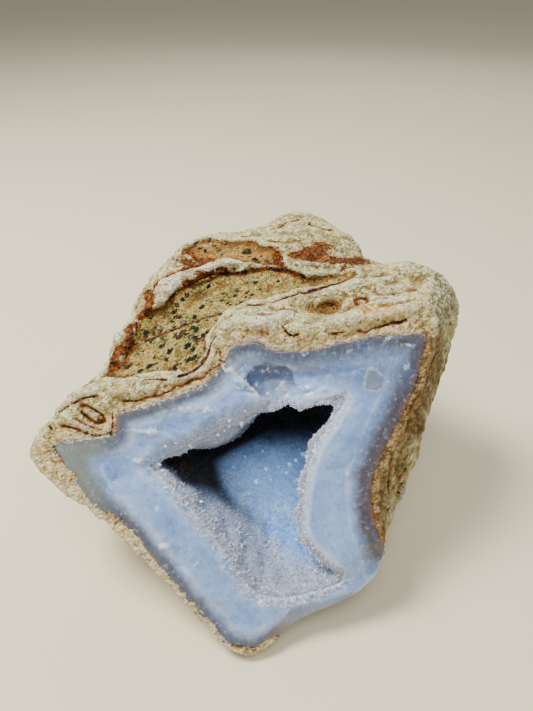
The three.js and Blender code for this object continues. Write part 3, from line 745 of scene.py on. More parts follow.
class CrustLook(bpy.types.PropertyGroup):
    voxel: length("Mesh size", "Edge of the mesh's faces", 0.5, low=0.3)
    triangles: count("Triangles", "Most triangles under the crystals", 55000)
    crystals: count("Crystals", "Number of small crystals in the hollow", 17500)
    lip_crystals: count("Lip crystals", "Number of small crystals on the mouth's lips", 5250)
    width: length("Width", "Width of a crystal", 0.52, low=0.1)
    ice: colour("Ice", "Crystals near the mouth", (176, 192, 220))
    deep: colour("Deep", "Crystals at the back", (150, 196, 250))


class StageLook(bpy.types.PropertyGroup):
    lens: FloatProperty(name="Lens", description="Focal length", default=27.04, min=1, unit="CAMERA")
    floor: colour("Floor", "Floor colour", (240, 230, 196))
    key: power("Key light", "Power of the main light", 6.2)
    fill: power("Fill light", "Power of the fill light", 2.8)


ROCK = tints(
    grey=(142, 142, 106), white=(236, 228, 200), ochre=(220, 168, 60),
    pale_grain=(250, 244, 204), dark_grain=(104, 94, 50), grime=(78, 66, 30), pit=(66, 46, 16),
    broken=(214, 198, 138), broken_dark=(166, 146, 88), broken_grain=(246, 234, 200),
    broken_gap=(104, 70, 30), broken_pit=(84, 50, 18), grit=(172, 104, 44),
    pink_grain=(248, 216, 188), worn=(160, 132, 84), worn_dark=(76, 56, 20), seam=(168, 104, 24),
    host_green=(126, 124, 60), host_grain=(226, 206, 144), host_gap=(86, 76, 34),
    host_dot=(70, 62, 26), orange=(196, 128, 44), orange_dark=(112, 84, 40),
    rind_hollow=(80, 58, 24), host_hollow=(58, 46, 20), crest=(250, 242, 214),
    rust_dark=(46, 16, 0), rust_yellow=(186, 112, 0), rust_edge=(176, 116, 36),
    crack_rust=(104, 40, 6), crack_black=(18, 10, 6), crack_stain=(150, 84, 20),
)
WALL = tints(
    sky=(150, 182, 228), fine_band=(196, 210, 236), veil=(196, 206, 228), veil_line=(206, 212, 226),
    grey_edge=(86, 92, 102), green_edge=(122, 128, 118), shade=(80, 100, 140),
    curtain=(176, 190, 216), stain=(96, 74, 66), warm_stain=(134, 92, 52), rust_line=(186, 112, 28),
    scoop=(70, 84, 112), near_hollow=(176, 200, 234), sugar=(138, 162, 206),
    pale_sugar=(216, 230, 250), bruise=(222, 228, 238), fleck=(224, 230, 240),
    ridge=(232, 234, 236), pane=(116, 128, 140), pane_rim=(206, 212, 216),
    pale_chip=(206, 220, 242), dark_cloud=(90, 116, 168), dent=(70, 90, 136),
    crest=(226, 232, 242), under=(142, 148, 170), under_dark=(122, 124, 142),
    earth=(142, 128, 114), earth_dark=(108, 90, 72),
)
CRYSTAL = tints(
    back=(176, 222, 255), slope=(148, 162, 192), fold=(90, 156, 240), facet=(212, 228, 252),
    frost=(214, 222, 238), white=(252, 254, 255), shade=(24, 54, 100), black=(2, 3, 8),
    stain=(84, 56, 42), glow=(31, 80, 137), glint=(235, 242, 255),
)


def rind(made, look, grain, middle, fine, pits):
    """The colour of the weathered rind."""
    ochre, white, grey = (made.value(name) for name in ("ochre", "white", "grey"))
    tone = made.mix(made.noise(7, 5, 0.6).rises(0.38, 0.62), tuple(look.cream), tuple(look.olive))
    tone = made.mix((grey + (middle - 0.5)).rises(0.3, 0.75) * 0.8, tone, ROCK.grey)
    tone = made.mix((white + (middle - 0.5)).rises(0.25, 0.7) * 0.9, tone, ROCK.white)
    tone = made.mix((ochre + (middle - 0.5) * 1.2).rises(0.3, 0.85) * 0.85, tone, ROCK.ochre)
    tone = made.mix(grain.rises(0.45, 0.8) * 0.65, tone, ROCK.pale_grain)
    tone = made.mix(grain.falls(0.1, 0.4) * 0.6, tone, ROCK.dark_grain)
    grimy = made.noise(6, 3).rises(0.4, 0.62)
    tone = made.mix(fine.rises(0.54, 0.64) * (0.3 + grimy * 0.55), tone, ROCK.grime)
    return made.mix(pits * (0.35 + grimy * 0.5), tone, ROCK.pit)


def broken_rind(made, tone, grain, middle, pits):
    """The rind's broken edge beside the chalcedony, over the colour of the rest."""
    near_blue, brown = made.value("near_blue"), made.value("brown")
    broken = made.mix(middle.rises(0.4, 0.62), ROCK.broken, ROCK.broken_dark)
    broken = made.mix(grain.rises(0.6, 0.9) * 0.6, broken, ROCK.broken_grain)
    broken = made.mix(grain.falls(0.08, 0.34) * 0.8, broken, ROCK.broken_gap)
    broken = made.mix(pits * 0.7, broken, ROCK.broken_pit)
    gritty = made.mix(made.noise(1.3, 4).rises(0.52, 0.66) * 0.8, broken, ROCK.grit)
    gritty = made.mix(grain.rises(0.55, 0.9) * 0.5, gritty, ROCK.pink_grain)
    broken = made.mix(made.value("grit").rises(0.2, 0.8), broken, gritty)
    at_break = (made.value("rim") + near_blue.falls(1.0, 6.0) * 0.6).rises(0.45, 1.0)
    tone = made.mix(at_break * (near_blue + middle * 3).falls(3.5, 7.5), tone, broken)
    # The brown mask gives the rind strip along the edge its own worn colour, and paints shade between the
    # folds behind the right edge.
    worn = made.mix(middle.rises(0.4, 0.6), ROCK.worn, ROCK.worn_dark)
    tone = made.mix((brown + (middle - 0.5) * 0.8).rises(0.1, 0.75) * 0.88, tone, worn)
    ragged = near_blue + (made.noise(1.0, 4) - 0.5) * 1.8
    seam = ragged.falls(0.45, 1.05) * made.noise(3, 4).rises(0.45, 0.56)
    return made.mix(seam * 0.8, tone, ROCK.seam)


def host_rock(made, look):
    """The colour of the bare host rock and its dark specks."""
    host = made.mix(made.noise(4, 4, 0.6).rises(0.4, 0.62), tuple(look.host), ROCK.host_green)
    grain = made.cells(0.45, output="Color")
    host = made.mix(grain.rises(0.5, 0.85) * 0.6, host, ROCK.host_grain)
    host = made.mix(grain.falls(0.1, 0.4) * 0.75, host, ROCK.host_gap)
    host = made.mix(made.noise(0.5, 3, 0.7).rises(0.55, 0.62) * 0.75, host, ROCK.host_dot)
    orange = made.value("orange").rises(0.3, 0.8) * 0.8 * made.noise(3, 4).rises(0.3, 0.55)
    stained = made.mix(made.noise(2, 4).rises(0.4, 0.6), ROCK.orange_dark, ROCK.orange)
    host = made.mix(orange, host, stained)

    bedding = made.drawn_out(0.9, 0.6)
    big = made.cells(1.9, place=bedding) + (made.noise(0.9, 3) - 0.5) * 0.7
    big = (big + made.value("sparse") * 0.16).falls(0.36, 0.42)
    small = made.cells(1.1, place=bedding) + (made.noise(0.5, 3) - 0.5) * 0.5
    specks = big * made.noise(9, 2).rises(0.3, 0.4)
    specks = specks + small.falls(0.2, 0.27) * made.noise(4, 2).rises(0.42, 0.52)
    drawn = (made.value("big_speck") + (made.noise(0.8, 3) - 0.5)).rises(0.45, 0.6)
    return made.mix((specks + drawn).clamped(), host, tuple(look.speck))


def rusted(made, look, tone, low):
    """Iron stains over a colour, each with a paler edge."""
    stained = made.value("rust") + (made.noise(1.6, 6, 0.75) - 0.5) * 2.6 + low * 0.3
    rust = made.mix(made.noise(0.8, 4).rises(0.4, 0.6), tuple(look.rust), ROCK.rust_dark)
    rust = made.mix(made.noise(1.1, 3).rises(0.52, 0.68) * 0.75, rust, ROCK.rust_yellow)
    tone = made.mix(stained.rises(0.0, 0.35) * 0.35, tone, ROCK.rust_edge)
    return made.mix(stained.rises(0.3, 0.6) * 0.97, tone, rust)


def cracked(made, tone):
    """Cracks over a colour, with a rusty stain beside them."""
    wander = made.value("crack") - 0.12 + (made.noise(0.7, 4, 0.7) - 0.5) * 0.7
    widths_away = wander / (made.value("crack_width") * 0.9 + 0.02)
    line = made.mix(made.value("dark"), ROCK.crack_rust, ROCK.crack_black)
    tone = made.mix(widths_away.falls(0.5, 1.2), tone, line)
    beside = widths_away.falls(1.0, 5.0) * made.noise(2.2, 3).rises(0.42, 0.66)
    return made.mix(beside * 0.6, tone, ROCK.crack_stain)


def rock_finish(look):
    """The rind and the bare host rock, with rust and cracks over both."""
    made = Finish("rind and host rock", Specular_IOR_Level=0.22)
    middle, fine = made.noise(1.7, 4, 0.6), made.noise(0.5, 3, 0.6)
    pits = made.noise(0.8, 4, 0.7).rises(0.6, 0.68)
    grain = made.cells(0.75, output="Color")
    bare, dent, brown = (made.value(name) for name in ("bare", "dent", "brown"))

    tone = rind(made, look, grain, middle, fine, pits)
    tone = broken_rind(made, tone, grain, middle, pits)
    is_bare = (bare + (made.noise(1.1, 4) - 0.5) * 1.1).rises(-0.12, 0.1)
    tone = made.mix(is_bare, tone, host_rock(made, look))
    # Painted shade: the rind and the host rock are painted darker in their dents and creases.
    low = (dent + (middle - 0.5) * 0.12).rises(0.0, 0.28)
    hollow = made.mix(bare.rises(-0.2, 0.2), ROCK.rind_hollow, ROCK.host_hollow)
    tone = made.mix(low * 0.8, tone, hollow)
    # Painted highlight: the rind is painted paler on its crests, but not on the olive-brown strip.
    high = dent.falls(-0.3, -0.04) * brown.falls(0.2, 0.8)
    tone = made.mix(high * 0.35, tone, ROCK.crest)
    tone = rusted(made, look, tone, low)
    made.feed("Base Color", cracked(made, tone))

    made.feed("Roughness", 0.5 + fine * 0.35)
    sharp = made.bump(fine * 0.7 - made.cells(0.7), 1.0, 0.5)
    made.feed("Normal", made.bump(middle + made.noise(0.22, 2) * 0.25, 0.8, 0.5, under=sharp))
    return made.material


def bands(made, look, cloud, chip):
    """The blue and pale bands of the wall, and its darker edge along the rind."""
    out, mauve, nub = (made.value(name) for name in ("to_rind", "mauve", "nub"))
    depth = out + (cloud - 0.5) * 2.2 + (chip - 0.5) * 0.9
    blue = made.mix(made.noise(10, 3).rises(0.36, 0.64), tuple(look.blue), WALL.sky)
    tone = made.mix((depth + cloud * 2).rises(3.6, 6.2), tuple(look.pale), blue)
    fine_bands = made.sine((out + (cloud - 0.5) * 3.0) * 5.5) * 0.5 + 0.5
    tone = made.mix(fine_bands * made.noise(8, 2).rises(0.42, 0.6) * 0.16, tone, WALL.fine_band)

    width = 2.6 + mauve * 2.6 + nub * 5.0
    veil = abs(depth - width - 1.0)
    tone = made.mix(veil.falls(0.1, 0.5) * cloud.rises(0.35, 0.6) * 0.4, tone, WALL.veil_line)
    wide_veil = veil.falls(0.2, 1.3) * made.noise(3, 3).rises(0.4, 0.62)
    tone = made.mix(wide_veil * 0.28, tone, WALL.veil)
    edge = made.mix(mauve.rises(0.15, 0.75), WALL.grey_edge, tuple(look.mauve))
    edge = made.mix(nub.rises(0.1, 0.7), edge, WALL.green_edge)
    tone = made.mix((depth / width).falls(0.4, 1.25) * 0.95, tone, edge)

    shaded = made.value("shaded")
    tone = made.mix((shaded + (cloud - 0.5) * 0.5).rises(0.15, 0.9) * 0.6, tone, WALL.shade)
    curtain = made.noise(0.8, 3, 0.6, place=made.drawn_out(1.5, 0.22)).rises(0.5, 0.64)
    tone = made.mix(curtain * shaded.rises(0.1, 0.7) * 0.2, tone, WALL.curtain)
    stain = made.mix(made.noise(2.5, 4).rises(0.4, 0.6), WALL.stain, WALL.warm_stain)
    at_rind = (out + (chip - 0.5) * 1.2).falls(0.2, 1.5)
    tone = made.mix(at_rind * (0.3 + 0.35 * mauve), tone, stain)
    line = (out + (chip - 0.5) * 1.1).falls(0.1, 0.45) * made.noise(3, 3).rises(0.42, 0.54)
    return made.mix(line * 0.85, tone, WALL.rust_line)


def wall_finish(look):
    """The blue wall: bands, edges, frosted lips and flakes."""
    made = Finish(
        "banded chalcedony", Subsurface_Weight=0.4, Subsurface_Scale=2.8 * MM,
        Subsurface_Radius=(0.7, 0.85, 1.0), Specular_IOR_Level=0.55, IOR=QUARTZ_IOR,
    )
    flake, white_ridge, dent = (made.value(name) for name in ("flake", "ridge", "dent"))
    cloud, chip = made.noise(5, 4, 0.6), made.noise(1.1, 5, 0.68)
    dust = made.noise(0.45, 3, 0.6)
    grains = made.cells(0.6, output="Color")
    sugar = (made.value("roll") + (chip - 0.5) * 1.5 + (dust - 0.5) * 0.5).rises(0.12, 0.75)
    bruise = (made.value("frost") + (chip - 0.5) * 2.2 + (dust - 0.5) * 0.6).rises(0.62, 0.95)

    tone = bands(made, look, cloud, chip)
    # Painted shade: the big flake's bowl is painted a darker grey-blue.
    tone = made.mix((flake + (chip - 0.5) * 0.5).rises(0.1, 0.6) * 0.85, tone, WALL.scoop)
    near = (made.value("to_hollow") + (chip - 0.5) * 4.0).falls(0.5, 6.0)
    tone = made.mix(near * 0.4, tone, WALL.near_hollow)
    frosted = made.mix(grains.rises(0.3, 0.8), WALL.sugar, WALL.pale_sugar)
    tone = made.mix(sugar * 0.66, tone, frosted)
    tone = made.mix(bruise * 0.8, tone, WALL.bruise)
    flecks = made.cells(3.4, place=made.drawn_out(0.75, 0.45)) + (dust - 0.5) * 0.5
    flecks = flecks.falls(0.1, 0.17) * made.noise(6, 2).rises(0.44, 0.55)
    tone = made.mix(flecks * made.value("mauve").falls(0.3, 0.8) * 0.75, tone, WALL.fleck)
    tone = made.mix((white_ridge + (chip - 0.5) * 1.9).rises(0.5, 0.9) * 0.8, tone, WALL.ridge)

    window = made.value("window")
    pane = window + (made.noise(2.4, 4, 0.6) - 0.5) * 1.5
    pane_rim = abs(pane - 0.45).falls(0.0, 0.16) * window.rises(0.1, 0.4)
    tone = made.mix(pane_rim * 0.5, tone, WALL.pane_rim)
    tone = made.mix(pane.rises(0.4, 0.8) * 0.75, tone, WALL.pane)
    tone = made.mix((chip - 0.5).rises(0.04, 0.2) * 0.3, tone, WALL.pale_chip)
    tone = made.mix((0.5 - made.noise(1.6, 4, 0.6)).rises(0.02, 0.16) * 0.3, tone, WALL.dark_cloud)
    # Painted shade: the wall is painted a darker blue in its dents.
    tone = made.mix(dent.rises(0.03, 0.3) * 0.5, tone, WALL.dent)
    # Painted highlight: the wall is painted paler on its crests away from the rind.
    high = dent.falls(-0.28, -0.05) * made.value("to_rind").rises(1.2, 2.4)
    tone = made.mix(high * 0.45, tone, WALL.crest)

    under = made.mix(cloud.rises(0.35, 0.65), WALL.under, WALL.under_dark)
    earth = made.mix(cloud.rises(0.35, 0.65), WALL.earth, WALL.earth_dark)
    under = made.mix(made.value("earthy"), under, earth)
    tone = made.mix(made.value("under").rises(0.1, 0.9) * 0.8, tone, under)
    made.feed("Base Color", tone)
    rough = 0.3 + (made.noise(2.5, 4) - 0.5) * 0.3 + sugar * 0.2 + bruise * 0.25
    made.feed("Roughness", rough.clamped())
    height = dust * (0.3 + sugar * 1.4 + bruise) + made.noise(2.6, 4) * 0.7 + grains * sugar * 0.8
    made.feed("Normal", made.bump(height, 0.5, 0.4))
    return made.material


def crystal_finish(look):
    """The crystals, bluer with the hollow's depth, with painted shade in its recesses, painted light on
    its back wall and painted sparkle.
    """
    made = Finish(
        "quartz crystals", Subsurface_Weight=0.5, Subsurface_Scale=3.0 * MM,
        Subsurface_Radius=(0.75, 0.88, 1.0), IOR=QUARTZ_IOR, Specular_IOR_Level=0.8,
        Coat_Roughness=0.03, Emission_Strength=0.4,
    )
    depth, back, slope, fold = (made.value(name) for name in ("depth", "back", "slope", "fold"))
    facet, bright, shade = (made.value(name) for name in ("crystal", "bright", "shade"))
    cloud = made.noise(5, 3)
    deep = (depth + (cloud - 0.5) * 4).rises(7.0, 16.0)
    tone = made.mix(deep, tuple(look.ice), tuple(look.deep))
    # The back wall is painted paler and bluer: its own blue, with painted light on it.
    tone = made.mix(back.rises(0.2, 0.9) * 0.85, tone, CRYSTAL.back)
    tone = made.mix(slope.rises(0.0, 1.0) * 0.75, tone, CRYSTAL.slope)
    tone = made.mix((fold + (cloud - 0.5) * 0.3).rises(0.1, 1.0) * 0.65, tone, CRYSTAL.fold)
    # Painted sparkle: crystals are painted paler than the crust between them, the bright ones more so.
    pale = facet * (0.2 + bright * 0.25) * depth.falls(8, 24)
    tone = made.mix(pale, tone, CRYSTAL.facet)
    frost = (depth + (cloud - 0.5) * 5).falls(0.5, 6.0) * (0.15 + bright * 0.55)
    tone = made.mix(frost, tone, CRYSTAL.frost)
    # Painted highlights: a few crystals are painted white as sparkles.
    tone = made.mix(bright.rises(0.93, 0.96) * 0.85, tone, CRYSTAL.white)
    # Painted shade: navy, then almost black, in the hollow's far corner, under its roof and along its
    # crease.
    tone = made.mix(shade.rises(0.0, 0.7) * 0.85, tone, CRYSTAL.shade)
    tone = made.mix(shade.rises(0.45, 1.0) * 0.99, tone, CRYSTAL.black)
    stain = made.value("stain").rises(0.2, 0.8) * made.noise(2, 4).rises(0.36, 0.6)
    made.feed("Base Color", made.mix(stain * 0.4, tone, CRYSTAL.stain))

    made.feed("Roughness", 0.6 - facet * 0.32 + shade * 0.3 + made.noise(0.8, 2) * 0.15)
    made.feed("Coat Weight", bright.rises(0.6, 0.9) * 0.6 * shade.falls(0.1, 0.6))
    # Painted light: an emitted blue glow on the hollow's back wall and crease stands for light through
    # the stone, and a few crystals emit painted glints.
    glow = (back.rises(0.1, 0.9) + fold.rises(0.1, 1.0)).clamped() * shade.falls(0.0, 0.5)
    glint = bright.rises(0.98, 0.985) * shade.falls(0.0, 0.3)
    lit = made.mix(glow, (0.0, 0.0, 0.0), CRYSTAL.glow)
    made.feed("Emission Color", made.mix(glint, lit, CRYSTAL.glint))
    made.feed("Normal", made.bump(-made.cells(0.4), 0.5, 0.2))
    return made.material


class CHALCEDONY_OT_matrix(bpy.types.Operator):
    """Makes the matrix: rind in layers, and the bare speckled host rock"""

    bl_idname = "chalcedony.matrix"
    bl_label = "Matrix"

    def execute(self, context):
        look = context.scene.rock_look
        made = merged_copy("matrix", "matrix_rock")
        solid = tree_of(made)
        remesh(made, look.voxel, rounds=6)
        blue = tree_of(frame["nodes"]["chalcedony"])
        points, normals = points_of(made), normals_of(made)
        on_break = to_break(points)
        view = seen(on_break)
        vx, vy = view.T
        towards_eye = (EYE - points) / np.linalg.norm(EYE - points, axis=1)[:, None]
        facing = np.einsum("ij,ij->i", towards_eye, normals)
        shown = smooth(facing, 0.02, 0.2)
        near_blue = gap_to(blue, points)
        depth = on_break[:, 2] - break_depth(on_break[:, 0], on_break[:, 1])
        rim = smooth(-normals @ INTO, 0.55, 0.85) * (1 - smooth(depth, 0.6, 1.6))
        hidden = smooth(-near_blue, -1.6, -0.8) * (1 - rim)

        bare = self.bare_rock(points, view, facing, solid)
        crack, dark, width = self.cracks(points, normals, facing, solid)
        sides = 1 - shown
        rust = np.maximum(places(view, RUST_STAINS), self.seams(points, solid)) * shown
        rust += 0.6 * sides * patches(points, 16, 0.32, 0.6, shift=31)
        grey = places(view, GREY_PLACES) * shown + sides * patches(points, 20, -0.3, 0.4, shift=3)
        ochre = places(view, OCHRE_PLACES) * shown + sides * patches(points, 14, 0.1, 0.5, shift=9)
        white = places(view, WHITE_PLACES) * shown + sides * patches(points, 18, 0.2, 0.6, shift=17)
        brown = places(view, BROWN_PLACES) * smooth(facing, -0.3, 0.0)
        brown = np.maximum(brown, 0.9 * falloff(to_line(view, WORN_EDGE), 2.4) * shown)
        brown += sides * patches(points, 12, 0.2, 0.5, shift=37)
        orange = shown * inside(BARE_BEHIND, view)
        big_speck = places(view, [(*mark, 1.0) for mark in BIG_SPECKS]) * shown

        is_bare = smooth(bare, -0.2, 0.4)
        grain = pebbles(points, 1.6) + 0.6 * pebbles(points, 0.9, shift=5)
        flow = points @ (0.75 * UP_BREAK + 0.25 * INTO) + 2.5 * lumps(points, 18, 2, shift=7)
        ledge = (flow / LEDGE_HEIGHT) % 1.0
        ledges = (smooth(ledge, 0, 0.18) - ledge) * smooth(lumps(points, 15, 2, shift=13), -0.25, 0.2)
        softer = 1 - 0.6 * is_bare
        relief = look.lump * (0.8 * lumps(points, 9, 4) + 0.25 * lumps(points, 2.6, 3, shift=19)) * softer
        relief += look.grain * grain * softer
        relief += 0.55 * ledges * (1 - is_bare) * (1 - rim)
        relief += is_bare * shown * (0.3 * lumps(points, 3.2, 4, shift=43) - 0.7)
        relief += 0.45 * falloff(bare + 0.8, 0.9) * shown
        relief -= 0.7 * falloff(crack, width + 0.1) + 0.16 * falloff(crack, 1.2)
        relief -= 2.4 * shown * mound(vx, vy, *POCKET)
        dip = 2.4 * mound(vx, vy, 37.0, -2.8, 3.2, 6.0) + 1.5 * mound(vx, vy, 35.4, -5.8, 2.6, 3.4)
        relief -= dip * smooth(facing, -0.6, -0.1)
        for line, height, half_width in FOLDS:
            away = distance_to(points, sight_line_hits(line, solid))
            relief += height * shown * falloff(away, half_width)
        relief *= 1 - hidden
        foot = smooth(points[:, 2], 0.15, 2.5)
        relief = np.where(relief > 0, relief * foot, relief * smooth(points[:, 2], 0.0, 0.4))
        points = points + normals * relief[:, None]
        flat = smooth(-normals @ INTO, 0.25, 0.6) * (1 - smooth(depth, 1.0, 1.8))
        flat *= 1 - smooth(near_blue, 1.0, 3.0)
        points += flush(points, flat, 0.3 * lumps(points, 1.4, 3, shift=3))
        points = reach(points, blue, near_blue, 0.5)
        points[:, 2] = np.maximum(points[:, 2], 0.0)
        move_to(made, points)
        keep(
            made, bare=bare, crack=crack, dark=dark, crack_width=width, rust=rust, grey=grey,
            ochre=ochre, white=white, orange=orange, near_blue=near_blue, rim=rim, brown=brown,
            big_speck=big_speck, dent=dents(made), sparse=smooth(vx + 0.6 * vy, 0, 30),
            grit=mound(vx, vy, 5.0, 33.0, 18, 6) + mound(vx, vy, 36.0, 30.0, 8, 9),
        )
        behind = smooth(-facing, 0.1, 0.5)
        thin_out(made, np.clip(hidden + 0.45 * behind, 0, 1), look.triangles)
        select_only(made)
        bpy.ops.object.shade_smooth()
        settle(made, rock_finish(look), "matrix")
        return {"FINISHED"}

    def bare_rock(self, points, view, facing, solid):
        """The signed distance into the bare host rock, more than nothing inside it."""
        signed = np.full(len(points), -99.0)
        for outline in (BARE_FIELD, BARE_BEHIND):
            edge = distance_to(points, sight_line_hits(outline, solid, closed=True))
            within = inside(outline, view) & (facing > 0.05)
            signed = np.maximum(signed, np.where(within, edge, -edge))
        unseen = 9 * (lumps(points, 24, 2, shift=41) - 0.22)
        return np.where(facing < 0.0, np.maximum(signed, unseen), signed)

    def seams(self, points, solid):
        """How strongly the iron seams along the host rock stain each point."""
        stain = np.zeros(len(points))
        wander = 1.4 * lumps(points, 2.6, 3, shift=61)
        for line, half_width in RUST_SEAMS:
            away = distance_to(points, sight_line_hits(line, solid)) + wander
            stain = np.maximum(stain, 1.2 * falloff(away, half_width))
        return stain

    def cracks(self, points, normals, facing, solid):
        """Distance to the nearest crack, how dark it is and its half width."""
        nearest = np.full(len(points), 99.0)
        dark = np.zeros(len(points))
        width = np.full(len(points), 0.25)
        for line, darkness, half_width in CRACKS:
            hits = sight_line_hits(line, solid)
            if not hits:
                continue
            away = distance_to(points, hits)
            closer = away - half_width < nearest - width
            nearest = np.where(closer, away, nearest)
            dark = np.where(closer, darkness, dark)
            width = np.where(closer, half_width, width)
        layers = points @ (0.8 * UP_BREAK + 0.2 * INTO) + 5 * lumps(points, 26, 3, shift=23)
        around = np.abs((layers / LAYER_HEIGHT) % 1.0 - 0.5) * LAYER_HEIGHT
        broken_up = lumps(points, 9, 2, shift=29)
        around = around + 3.0 * smooth(broken_up, -0.15, 0.25)
        swap = (facing < 0.0) & (around < nearest)
        return (
            np.where(swap, around, nearest),
            np.where(swap, 0.8, dark),
            np.where(swap, 0.15, width),
        )


class CHALCEDONY_OT_wall(bpy.types.Operator):
    """Makes the chalcedony wall with its broken, banded front"""

    bl_idname = "chalcedony.wall"
    bl_label = "Chalcedony wall"

    def execute(self, context):
        look = context.scene.wall_look
        made = merged_copy("chalcedony", "chalcedony_wall")
        remesh(made, look.voxel, rounds=4)
        rock = tree_of(frame["nodes"]["matrix"])
        crust = tree_of(frame["nodes"]["druse"])
        points, normals = points_of(made), normals_of(made)
        on_break = to_break(points)
        x, y = on_break[:, 0], on_break[:, 1]
        depth = on_break[:, 2] - break_depth(x, y)
        front = smooth(-normals @ INTO, 0.5, 0.8) * (1 - smooth(np.abs(depth), 1.0, 1.8))
        to_rind, to_hollow = gap_to(rock, points), gap_to(crust, points)

        xy = on_break[:, :2]
        chips = places(xy, FROST_PLACES)
        sway = np.stack([lumps(points, 4, 3, shift=47), lumps(points, 4, 3, shift=53)], axis=1)
        bent = xy + sway * [1.8, 1.5]
        ridge = falloff(to_line(bent, WHITE_RIDGE), 0.8) * front
        drop, roll = lip_roll(xy, to_hollow)
        below = np.interp(x, UNDER_EDGE[0], UNDER_EDGE[1], left=-99) - y
        relief = 0.2 * lumps(points, 6, 3) + chips * (np.abs(lumps(points, 3, 4, shift=2)) - 0.25) * 0.9
        flake = np.zeros(len(points))
        for i, (x0, y0, half_width, half_height, deep) in enumerate(FLAKES):
            across, along = (bent[:, 0] - x0) / half_width, (bent[:, 1] - y0) / half_height
            bowl = np.clip(1 - across**2 - along**2, 0, 1)
            ripple = 0.06 * np.sin(9 * np.sqrt(1.001 - bowl))
            relief -= (deep * bowl + ripple * (bowl > 0)) * smooth(bowl, 0, 0.15)
            if i == 0:
                flake = smooth(bowl, 0.0, 0.55)
        relief += 0.5 * ridge * (0.6 + lumps(points, 2, 3, shift=5))
        sugar = roll * (1 - smooth(depth, 4, 8)) * (1 - 0.75 * mound(x, y, -21.5, 2.4, 5.5, 3.5))
        relief += smooth(sugar, 0.1, 0.6) * 0.3 * (pebbles(points, 0.9) - 0.5)
        window = mound(x, y, *WINDOW)
        relief += 0.12 * smooth(window, 0.3, 0.6)
        points = points + normals * (relief * front)[:, None]
        flat = smooth(-normals @ INTO, 0.25, 0.6) * (1 - smooth(depth, 1.0, 1.8))
        flat *= 1 - smooth(to_rind, 0.8, 2.0)
        points += flush(points, flat, 0.0)
        points = reach(points, rock, to_rind, 0.12)
        points = reach(points, crust, to_hollow, 0.12)
        points += (drop * (1 - smooth(depth, 4, 9)))[:, None] * INTO
        move_to(made, points)
        mauve = smooth(x, 14, 30) * smooth(-y, -38, -22) + 0.2
        shaded = mound(x, y, 28, 26, 12, 7) + 0.8 * mound(x, y, 8, 28, 12, 4)
        shaded += 0.5 * mound(x, y, -8, -34, 9, 5)
        nub = smooth(-x, 26, 44)
        keep(
            made, to_rind=to_rind, to_hollow=to_hollow, mauve=mauve, nub=nub, frost=chips,
            window=window * front, flake=flake * front, ridge=ridge, roll=sugar,
            shaded=shaded, dent=dents(made),
            under=smooth(below, -1.2, 0.9) * (1 - smooth(depth, 4, 9)), earthy=1 - smooth(x, 5, 12),
        )
        thin_out(made, (1 - front) * smooth(depth, 1.5, 3.0), look.triangles)
        select_only(made)
        bpy.ops.object.shade_smooth()
        settle(made, wall_finish(look), "chalcedony")
        return {"FINISHED"}


def crystal(sides=4):
    """One quartz point of width and length 1, pointed at its free end."""
    turns = [2 * math.pi * i / sides for i in range(sides)]
    foot = [(0.5 * math.cos(a), 0.5 * math.sin(a), -0.35) for a in turns]
    corners = np.array([*foot, (0, 0, 0.5)])
    faces = [(i, (i + 1) % sides, sides) for i in range(sides)]
    faces.append(tuple(reversed(range(sides))))
    return corners, faces


